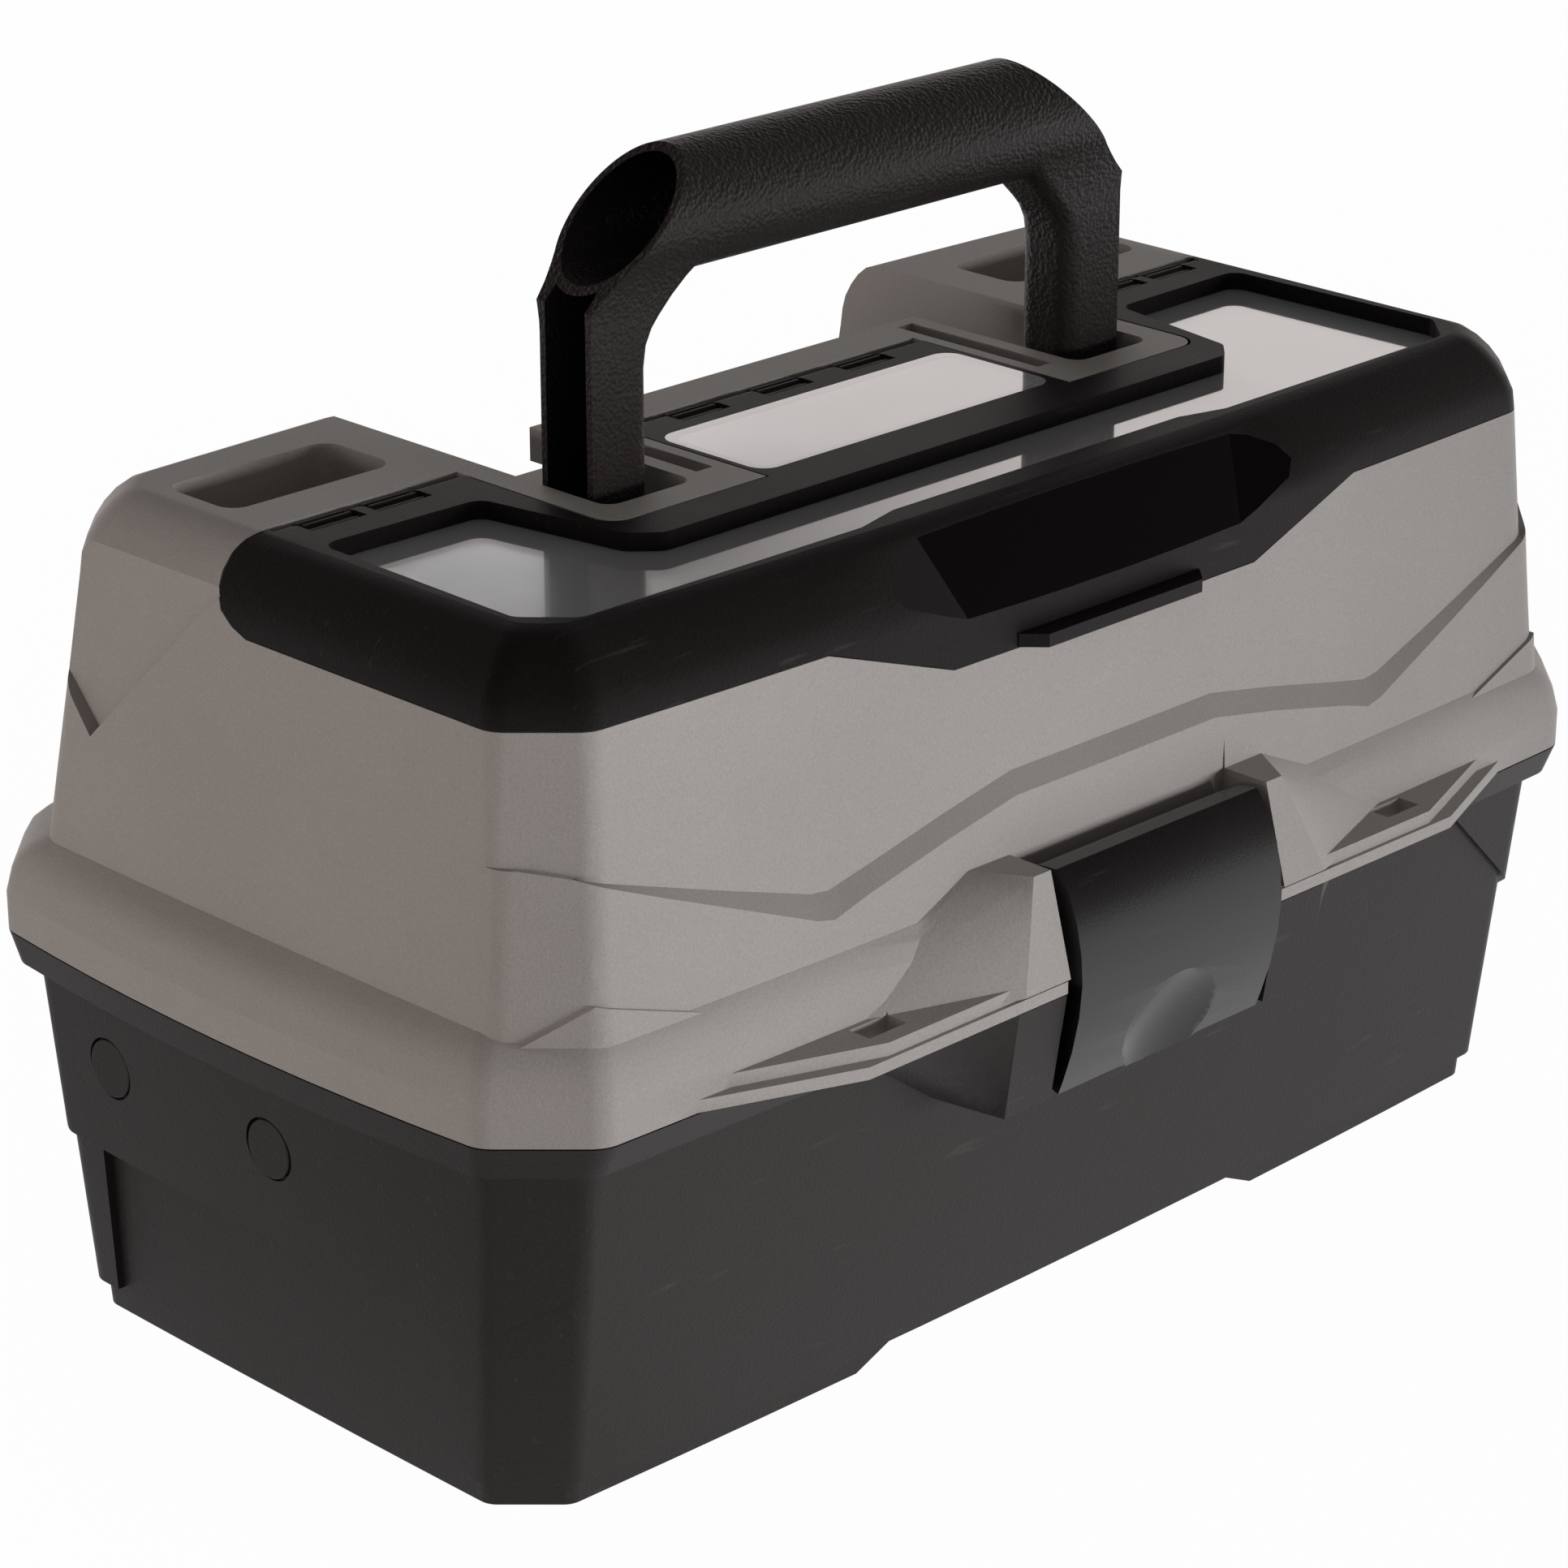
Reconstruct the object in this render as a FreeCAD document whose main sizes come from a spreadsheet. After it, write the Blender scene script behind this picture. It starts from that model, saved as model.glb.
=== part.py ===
"""Art supply box: base tub, hinged lid, top door with clear windows, carry handle, latch and lift-up tray.

Lengths are millimetres.  X runs along the box, Y runs from the front (minus) to the rear (plus), Z is up.
The origin is at the middle of the underside.  Every size is a cell of the sheet "Sizes".
"""
import math
import os
import re

import FreeCAD, Part
import Sketcher
from FreeCAD import Placement, Rotation, Vector

ORDINALS = (
    "first second third fourth fifth sixth seventh eighth ninth tenth "
    "eleventh twelfth thirteenth fourteenth fifteenth sixteenth seventeenth eighteenth nineteenth twentieth "
    "twenty_first twenty_second"
).split()

# Single sizes, shared by several pieces.
SIZES = {
    # Moving gaps and the ends of cutting solids
    "part_gap": 0.3,
    "run_gap": 0.05,
    "reach": 200.0,
    "wall_outside": 190.0,
    "wall_inside": 150.0,
    "front_limit": -130.0,
    # Base
    "band_rise": 1.2,
    "panel_half": 59.5,
    "ear_low": 67.6,
    "rivet_height": 67.3,
    "rivet_rear": 51.0,
    "rivet_front": -6.0,
    "rivet_head_radius": 6.9,
    "rivet_seat_radius": 7.5,
    "rivet_head_depth": 1.8,
    "front_rivet_face": 175.6,
    "rear_rivet_face": 174.6,
    "rivet_radius": 4.0,
    "rivet_end_gap": 0.1,
    # Lid hinge
    "hinge_rear": 106.0,
    "hinge_height": 94.15,
    "hinge_barrel_radius": 5.2,
    "hinge_pin_radius": 2.0,
    "hinge_web_front": 95.5,
    "base_web_low": 88.0,
    "lid_web_high": 101.0,
    "outer_barrel_start": 128.0,
    "outer_barrel_end": 141.0,
    "inner_barrel_start": 99.0,
    "inner_barrel_end": 112.0,
    "barrel_gap": 0.4,
    "bore_over": 7.0,
    # Lid flange steps and latch housing
    "ledge_low_top": 97.2,
    "ledge_high_top": 100.3,
    "housing_low": 98.0,
    "housing_high": 122.0,
    "relief_rear": -40.0,
    "scoop_front": -20.0,
    "scoop_rear": 130.0,
    # Lift arms and tray
    "arm_forward": 55.0,
    "arm_rise": 6.0,
    "rear_arm_inner": 160.4,
    "front_arm_inner": 162.6,
    "arm_thickness": 1.8,
    "arm_bore_outer": 175.0,
    "tray_half": 157.0,
    "tray_pin_inner": 155.5,
    "tray_seat_outer": 165.0,
    "lug_thickness": 3.0,
    "lug_bite": 2.0,
    "lug_bore_outer": 170.0,
    "arm_radius": 7.0,
    "tray_pin_radius": 3.0,
    "lug_radius": 6.5,
    "link_pin_outer": 175.0,
    "link_pin_inner": 156.4,
    "link_bore_inner": 167.0,
    # Top door and its hinge
    "door_axis_rear": 13.5,
    "door_axis_height": 194.4,
    "door_barrel_radius": 3.5,
    "door_rod_radius": 1.7,
    "door_low": 180.0,
    "door_high": 210.0,
    "door_zone_rear": 30.0,
    "wing_side": 150.9,
    "wing_clear_side": 150.0,
    "wing_gap": 0.4,
    "wing_end_radius": 4.2,
    "wing_socket_radius": 4.6,
    "end_barrel_outer": 151.0,
    "end_barrel_inner": 98.0,
    "middle_barrel_half": 48.0,
    "rod_bore_over": 1.0,
    "rod_short": 1.0,
    "middle_rod_half": 46.0,
    "knuckle_radius": 2.7,
    "knuckle_half": 6.9,
    "knuckle_low": 191.0,
    "knuckle_high": 195.6,
    "knuckle_bite": 1.0,
    "knuckle_bore_half": 12.0,
    "notch_half": 7.7,
    "notch_front": 8.8,
    "notch_rear": 20.0,
    "knuckle_end": 137.0,
    "knuckle_inner": 118.4,
    "knuckle_middle": 27.3,
    "tower_face": 17.3,
    "top_level": 198.0,
    "block_round": 6.0,
    "slot_round": 6.6,
    "cup_round": 5.0,
    "well_round": 4.0,
    "pane_low": 191.6,
    "pane_high": 193.7,
    "glass_round": 5.0,
    "glass_hole_round": 3.0,
    "window_round": 4.0,
    "facet_half": 90.0,
    "finger_wall": 3.0,
    "lift_tab_low": 167.8,
    "lift_tab_high": 170.9,
    # Handle
    "handle_axis_y": -7.2,
    "handle_axis_height": 181.5,
    "leg_end_radius": 7.6,
    "leg_inner": 68.0,
    "leg_outer": 86.0,
    "leg_round": 4.5,
    "leg_bore_outer": 100.0,
    "leg_bore_inner": 50.0,
    "grip_height": 255.2,
    "grip_radius": 14.3,
    "grip_bore_radius": 12.5,
    "grip_half": 95.0,
    "grip_bore_half": 120.0,
    "grip_cut_half": 60.0,
    "handle_pin_radius": 3.5,
    "handle_pin_outer": 93.0,
    "handle_pin_inner": 57.0,
    "handle_bore_outer": 94.0,
    "handle_bore_inner": 54.0,
    # Latch
    "latch_half": 34.0,
    "latch_axis_y": -103.0,
    "latch_axis_height": 116.5,
    "latch_barrel_radius": 4.4,
    "latch_pin_radius": 2.0,
    "latch_pin_half": 43.0,
    "latch_seat_half": 44.0,
    "latch_run_half": 40.0,
    "lip_front": -108.9,
    "lip_rear": -104.8,
    "dish_front": -147.2,
    "dish_height": 65.2,
    "dish_radius": 40.0,
}

# Eight-sided outlines: height, half length, front, rear, corner cut, corner round, end bow, face bow.
LEVELS = {
    "plinth_foot": (0.0, 167.0, 78.6, 78.6, 13.0, 5.0, 0.4, 3.0),
    "plinth_head": (8.0, 167.5, 79.3, 79.3, 13.2, 5.0, 0.4, 3.0),
    "wall_foot": (6.5, 169.3, 81.3, 81.3, 13.8, 6.0, 0.5, 3.1),
    "wall_head": (88.0, 173.4, 90.4, 90.4, 16.0, 7.0, 2.4, 3.0),
    "rim_root": (83.2, 172.0, 89.0, 89.0, 15.6, 7.0, 2.4, 3.0),
    "rim_edge": (86.4, 178.4, 95.4, 95.4, 17.6, 8.0, 3.9, 3.0),
    "rim_top": (94.0, 180.0, 98.7, 98.7, 19.2, 8.5, 3.9, 2.9),
    "hollow_foot": (9.0, 164.6, 78.6, 78.6, 12.0, 5.0, 0.3, 2.9),
    "hollow_head": (95.0, 170.6, 87.6, 87.6, 14.4, 6.0, 2.0, 2.8),
    "under_foot": (-1.0, 159.0, 70.6, 70.6, 10.0, 4.0, 0.3, 2.9),
    "under_head": (6.3, 159.0, 70.6, 70.6, 10.0, 4.0, 0.3, 2.9),
    "flange_foot": (94.3, 180.0, 98.7, 98.7, 19.2, 8.5, 3.9, 2.9),
    "flange_edge": (103.0, 180.0, 98.7, 98.7, 19.2, 8.5, 3.9, 2.9),
    "flange_turn": (108.5, 178.7, 97.4, 97.4, 18.6, 8.5, 3.9, 2.9),
    "flange_bend": (112.0, 177.0, 95.7, 95.7, 18.0, 8.5, 3.9, 2.9),
    "flange_slope": (114.5, 174.5, 93.2, 93.2, 17.4, 8.5, 3.4, 2.9),
    "flange_head": (118.5, 169.0, 88.0, 87.0, 16.4, 8.0, 2.4, 2.9),
    "form_foot": (108.0, 173.1, 91.7, 90.8, 17.1, 8.0, 2.0, 3.1),
    "form_head": (180.0, 166.8, 86.7, 77.6, 14.7, 8.0, 0.2, 3.6),
    "form_turn": (184.5, 166.2, 86.1, 77.0, 14.3, 8.0, 0.2, 3.6),
    "form_bend": (188.0, 164.6, 84.5, 76.0, 13.4, 8.0, 0.2, 3.6),
    "form_slope": (191.5, 162.0, 81.9, 74.0, 11.9, 8.0, 0.2, 3.6),
    "form_curve": (194.5, 159.0, 78.9, 71.6, 10.2, 8.0, 0.2, 3.6),
    "form_crest": (196.8, 155.8, 75.7, 68.8, 8.6, 7.0, 0.2, 3.6),
    "form_top": (198.0, 152.3, 72.2, 65.6, 7.0, 6.0, 0.2, 3.6),
    "relief_foot": (104.0, 173.2, 93.6, 85.0, 16.2, 8.0, 2.0, 3.1),
    "relief_head": (156.0, 168.6, 89.8, 78.0, 14.3, 8.0, 0.8, 3.4),
    "fold_foot": (104.0, 173.3, 94.6, 85.0, 15.8, 8.0, 2.0, 3.1),
    "fold_head": (130.0, 171.0, 92.7, 82.0, 14.8, 8.0, 1.4, 3.2),
    "cavity_foot": (94.0, 172.2, 90.6, 90.6, 15.2, 7.0, 3.0, 2.9),
    "cavity_middle": (118.0, 169.6, 88.4, 86.2, 14.5, 6.0, 1.5, 3.0),
    "cavity_head": (159.0, 166.0, 85.3, 78.5, 13.0, 6.0, 0.5, 3.3),
    "store_foot": (162.0, 165.4, 85.0, 78.0, 13.2, 6.0, 0.2, 3.5),
    "store_head": (184.0, 163.6, 83.5, 75.0, 12.8, 6.0, 0.2, 3.5),
    "door_hollow_foot": (160.0, 165.6, 85.2, 78.0, 13.2, 6.0, 0.2, 3.5),
    "door_hollow_head": (188.0, 161.6, 81.6, 74.0, 12.0, 6.0, 0.2, 3.5),
}

# Cross sections of a handle leg, which widens into the grip: height, inner side, front, rear.
LEG_LEVELS = {
    "leg_foot": (181.5, 68.0, -16.0, 0.4),
    "leg_knee": (223.0, 68.0, -16.0, 0.4),
    "leg_bend": (228.0, 67.2, -16.0, 0.4),
    "leg_turn": (231.5, 65.4, -16.0, 0.4),
    "leg_slope": (234.0, 63.2, -16.0, 0.5),
    "leg_flare": (238.0, 59.4, -16.3, 1.1),
    "leg_spread": (242.0, 55.4, -17.1, 2.2),
    "leg_crown": (245.0, 52.3, -18.2, 3.5),
    "leg_head": (248.3, 49.2, -19.6, 5.2),
}
LEG_ROUND_STEPS = 4

# Corner points of flat outlines, given in the plane named where each is used.
TRACES = {
    "arch": ((-69.0, -1.0), (69.0, -1.0), (69.0, 0.0), (57.0, 5.6), (-57.0, 5.6), (-69.0, 0.0)),
    "panel": ((-190.0, -1.0), (-167.3, -1.0), (-168.9, 44.2), (-190.0, 44.2)),
    "band": ((-200.0, 44.2), (-172.5, 44.2), (-157.5, 56.5), (-126.5, 84.5), (-126.5, 90.0), (-200.0, 90.0)),
    "ear_foot": ((-55.5, -89.4), (-36.5, -89.4), (-36.5, -109.0), (-52.0, -109.4)),
    "ear_head": ((-95.0, -92.0), (-36.5, -92.0), (-36.5, -113.2), (-52.0, -113.2)),
    "crease": (
        (-200.0, 100.0), (200.0, 100.0), (200.0, 152.0), (166.0, 151.5), (158.0, 149.7), (137.0, 140.8),
        (118.6, 133.3), (95.0, 123.6), (90.0, 122.5), (80.0, 125.3), (54.5, 131.0), (33.5, 135.0),
        (-33.5, 135.0), (-54.5, 131.0), (-80.0, 125.3), (-90.0, 122.5), (-95.0, 123.6), (-118.6, 133.3),
        (-137.0, 140.8), (-158.0, 149.7), (-166.0, 151.5), (-200.0, 152.0),
    ),
    "fold": (
        (-200.0, 100.0), (200.0, 100.0), (200.0, 112.0), (172.0, 112.0), (157.5, 123.0), (126.0, 112.5),
        (110.0, 106.0), (-110.0, 106.0), (-126.0, 112.5), (-157.5, 123.0), (-172.0, 112.0), (-200.0, 112.0),
    ),
    "ledge_low": (
        (-138.0, -96.0), (-138.0, -98.6), (-99.0, -113.4), (99.0, -113.4), (138.0, -98.6), (138.0, -96.0),
    ),
    "ledge_high": (
        (-129.0, -96.0), (-129.0, -98.8), (-92.0, -112.3), (92.0, -112.3), (129.0, -98.8), (129.0, -96.0),
    ),
    "housing_foot": (
        (-104.0, -95.0), (-104.0, -97.0), (-51.0, -114.2), (51.0, -114.2), (104.0, -97.0), (104.0, -95.0),
    ),
    "housing_head": (
        (-50.5, -92.0), (-50.5, -93.8), (-42.0, -107.6), (42.0, -107.6), (50.5, -93.8), (50.5, -92.0),
    ),
    "scoop_side": ((57.5, 144.5), (121.0, 208.0), (57.5, 271.5), (-6.0, 208.0)),
    "scoop_depth": ((-166.9, 140.0), (-163.9, 200.0), (-200.0, 200.0), (-200.0, 140.0)),
    "skirt": (
        (-200.0, 180.3), (-87.0, 180.3), (-50.0, 167.8), (50.0, 167.8), (87.0, 180.3), (200.0, 180.3),
        (200.0, 210.0), (-200.0, 210.0),
    ),
    "wing": (
        (-130.0, 150.0), (4.6, 150.0), (4.6, 180.0), (9.4, 181.6), (13.2, 184.2), (15.8, 187.6),
        (17.2, 191.0), (17.6, 194.0), (13.5, 194.0), (13.5, 210.0), (-130.0, 210.0),
    ),
    "window": (
        (-149.2, 0.6), (-105.2, -0.4), (-98.5, -39.0), (-92.0, -45.0), (92.0, -45.0), (98.5, -39.0),
        (105.2, -0.4), (149.2, 0.6), (150.6, -61.6), (140.8, -71.6), (60.0, -72.4), (47.0, -69.0),
        (-47.0, -69.0), (-60.0, -72.4), (-140.8, -71.6), (-150.6, -61.6),
    ),
    "pane": (
        (-151.2, 2.6), (-103.2, 1.6), (-97.0, -37.5), (-91.2, -43.0), (91.2, -43.0), (97.0, -37.5),
        (103.2, 1.6), (151.2, 2.6), (152.6, -62.4), (141.6, -73.6), (60.6, -74.4), (47.4, -71.0),
        (-47.4, -71.0), (-60.6, -74.4), (-141.6, -73.6), (-152.6, -62.4),
    ),
    "finger_lip": (
        (-17.0, 68.8), (-11.0, 66.8), (-5.0, 65.8), (5.0, 65.8), (11.0, 66.8), (17.0, 68.8), (17.0, 74.0),
        (-17.0, 74.0),
    ),
    "finger_slope": ((-76.0, 204.0), (-92.2, 174.0), (-120.0, 174.0), (-120.0, 204.0)),
    "facet_near": ((-52.7, 204.0), (-70.7, 174.0), (-120.0, 174.0), (-120.0, 204.0)),
    "facet_far": ((-81.7, 204.0), (-99.6, 174.0), (-120.0, 174.0), (-120.0, 204.0)),
    "lift_tab": ((-30.5, -86.0), (-30.1, -91.2), (-25.5, -96.0), (25.5, -96.0), (30.1, -91.2), (30.5, -86.0)),
    "latch_side": (
        (-103.0, 120.9), (-106.9, 121.2), (-110.6, 116.6), (-113.4, 110.0), (-114.9, 103.0), (-115.4, 96.0),
        (-114.7, 88.0), (-112.8, 79.0), (-110.4, 71.4), (-109.0, 67.6), (-105.8, 68.6), (-107.4, 75.0),
        (-109.5, 83.0), (-110.8, 91.0), (-111.0, 97.0), (-110.2, 104.0), (-108.0, 110.5), (-103.0, 112.2),
    ),
    "grip_end": ((-45.8, 278.0), (-120.0, 278.0), (-120.0, 238.0), (-86.7, 238.0)),
    "lug": ((14.0, 66.0), (34.0, 66.0), (56.6, 97.0), (46.4, 104.8), (14.0, 82.0)),
}

# Plain boxes: left, right, front, rear, bottom, top.
BLOCKS = {
    "catch": (-22.0, 22.0, -105.2, -98.0, 86.8, 90.6),
    "door_centre": (-151.0, 151.0, -130.0, "door_axis_rear", 150.0, 210.0),
    "lid_centre": (-151.4, 151.4, -130.0, "tower_face", 150.0, 210.0),
    "block": (-96.2, 96.2, -33.0, "tower_face", 158.0, "top_level"),
    "strip": (-63.0, 63.0, 16.0, 30.0, 190.0, "top_level"),
    "well": (-89.0, 89.0, "tower_face", 110.0, 163.6, 210.0),
    "channel": (-89.0, -63.0, -24.0, 60.0, 168.0, 210.0),
    "store_front": (-170.0, 170.0, -100.0, -36.0, 162.0, 210.0),
    "store_side": (-170.0, -98.6, -40.0, 8.6, 162.0, 210.0),
    "store_centre": (-47.6, 47.6, -30.4, 8.6, 162.0, 210.0),
    "tower_hollow": (-155.0, -93.0, 22.0, 68.0, 150.0, 174.0),
    "scoop_backing": (-190.0, -162.6, 22.0, 78.0, 136.0, 160.5),
    "cup": (-148.5, -102.0, 31.3, 55.0, 177.0, 210.0),
    "latch_space": (-36.5, 36.5, -130.0, -94.8, 107.0, 130.0),
    "latch_drop": (-36.5, 36.5, -130.0, -102.2, 90.0, 110.0),
    "padlock_slot": (-93.5, -82.0, -108.0, -102.0, 90.0, 110.0),
    "door_slot": (-96.9, -49.4, -33.7, 30.0, 150.0, 210.0),
    "door_rear_trim": (-148.0, 148.0, 4.0, 30.0, 150.0, 188.0),
    "door_seat": (-49.9, 49.9, -60.0, "tower_face", 187.6, 210.0),
    "strap_slot": (-58.6, -53.4, -20.0, 26.0, 193.0, 210.0),
    "glass_rebate": (-48.0, 48.0, -30.4, 4.4, 195.8, 210.0),
    "glass_hole": (-45.0, 45.0, -27.6, 1.6, 150.0, 210.0),
    "centre_glass": (-47.9, 47.9, -30.3, 4.3, 195.8, "top_level"),
    "leg_groove": (-90.0, -71.2, -14.2, -1.4, 178.0, 252.0),
    "hook": (-20.0, 20.0, -111.0, -105.9, 81.6, 85.4),
    "tray_block": ("0 - tray_half", "tray_half", -79.0, 36.0, 58.6, 91.0),
    "tray_row": (-154.6, 154.6, -22.0, 33.8, 60.8, 100.0),
    "tray_end_bay": (-154.6, -78.4, -76.8, -24.2, 60.8, 100.0),
    "tray_middle_bay": (-76.2, -1.1, -76.8, -24.2, 60.8, 100.0),
}

doc = FreeCAD.newDocument("art_supply_box")


# The sheet of sizes
def table_rows():
    """All the cells of the sheet as (alias, value)."""
    rows = list(SIZES.items())
    level_words = ("height", "half_length", "front", "rear", "corner", "round", "end_bow", "face_bow")
    for name, values in LEVELS.items():
        rows += [(name + "_" + word, value) for word, value in zip(level_words, values)]
    for name, values in LEG_LEVELS.items():
        words = ("height", "inner", "front", "rear")
        rows += [(name + "_" + word, value) for word, value in zip(words, values)]
    for name, points in TRACES.items():
        for word, (across, along) in zip(ORDINALS, points):
            rows += [(name + "_across_" + word, across), (name + "_along_" + word, along)]
    block_words = ("left", "right", "front", "rear", "bottom", "top")
    for name, values in BLOCKS.items():
        rows += [(name + "_" + word, value) for word, value in zip(block_words, values)]
    return rows


sheet = doc.addObject("Spreadsheet::Sheet", "Sizes")
FORMULAS = {}
for row, (alias, value) in enumerate(table_rows(), start=1):
    if isinstance(value, str):
        FORMULAS[alias] = value
        continue
    sheet.set("A%d" % row, alias)
    sheet.set("B%d" % row, "%g" % value)
    sheet.setAlias("B%d" % row, alias)
doc.recompute()
ALIASES = {alias for alias, value in table_rows() if not isinstance(value, str)}


# Small building helpers
def formula(text):
    """Spell a formula of size names in the form that the document's expressions use."""
    def spell(match):
        word = match.group(0)
        if word in FORMULAS:
            return "(" + formula(FORMULAS[word]) + ")"
        return "Sizes." + word if word in ALIASES else word
    return re.sub(r"[a-z][a-z_]*", spell, str(text))


def bind(thing, path, text):
    thing.setExpression(path, formula(text))


def add(kind, name, **properties):
    thing = doc.addObject(kind, name)
    thing.Label = name
    for key, value in properties.items():
        setattr(thing, key, value)
    return thing


def box(name):
    """A plain box from the BLOCKS table."""
    thing = add("Part::Box", name + "_box")
    for path, low, high in (("x", "left", "right"), ("y", "front", "rear"), ("z", "bottom", "top")):
        bind(thing, "Placement.Base." + path, name + "_" + low)
    bind(thing, "Length", "%s_right - %s_left" % (name, name))
    bind(thing, "Width", "%s_rear - %s_front" % (name, name))
    bind(thing, "Height", "%s_top - %s_bottom" % (name, name))
    return thing


def rod(name, start, end, across, height, radius):
    """A round bar along X."""
    thing = add("Part::Cylinder", name)
    thing.Placement = Placement(Vector(), Rotation(Vector(0, 1, 0), 90))
    bind(thing, "Placement.Base.x", start)
    bind(thing, "Placement.Base.y", across)
    bind(thing, "Placement.Base.z", height)
    bind(thing, "Radius", radius)
    bind(thing, "Height", "(%s) - (%s)" % (end, start))
    return thing


PLANES = {
    "XY": (Rotation(), "z", Vector(0, 0, 1)),
    "XZ": (Rotation(Vector(1, 0, 0), 90), "y", Vector(0, 1, 0)),
    "YZ": (Rotation(Vector(1, 1, 1), 120), "x", Vector(1, 0, 0)),
}


def draw(label, plane, offset, corners):
    """A closed outline of straight lines through corners given as pairs of formulas."""
    sketch = add("Sketcher::SketchObject", label + "_outline")
    turn, axis, _ = PLANES[plane]
    sketch.Placement = Placement(Vector(), turn)
    bind(sketch, "Placement.Base." + axis, offset)
    count = len(corners)
    angles = [2 * math.pi * index / count for index in range(count)]
    points = [Vector(100 * math.cos(angle), 100 * math.sin(angle), 0) for angle in angles]
    for index, point in enumerate(points):
        sketch.addGeometry(Part.LineSegment(point, points[(index + 1) % count]))
    for index in range(count):
        sketch.addConstraint(Sketcher.Constraint("Coincident", index, 2, (index + 1) % count, 1))
    for index, (across_text, along_text) in enumerate(corners):
        across = sketch.addConstraint(Sketcher.Constraint("DistanceX", -1, 1, index, 1, points[index].x))
        along = sketch.addConstraint(Sketcher.Constraint("DistanceY", -1, 1, index, 1, points[index].y))
        bind(sketch, "Constraints[%d]" % across, across_text)
        bind(sketch, "Constraints[%d]" % along, along_text)
    return sketch


def trace(name, plane, offset, label=None, raised="0", shifted="0"):
    """An outline from the TRACES table, shifted along its first axis and raised along its second."""
    corners = []
    for word in ORDINALS[:len(TRACES[name])]:
        across = "%s_across_%s + %s" % (name, word, shifted)
        along = "%s_along_%s + %s" % (name, word, raised)
        corners.append((across, along))
    return draw(label or name, plane, offset, corners)


def extrude(label, plane, low, high, sketch):
    """A straight solid on an outline, from its plane to another one beside it."""
    thing = add("Part::Extrusion", label + "_prism", Base=sketch, DirMode="Custom", Solid=True)
    thing.Dir = PLANES[plane][2]
    bind(thing, "LengthFwd", "(%s) - (%s)" % (high, low))
    return thing


def prism(name, plane, low, high, label=None, raised="0"):
    """A straight solid on an outline of the TRACES table."""
    return extrude(label or name, plane, low, high, trace(name, plane, low, label, raised))


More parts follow.
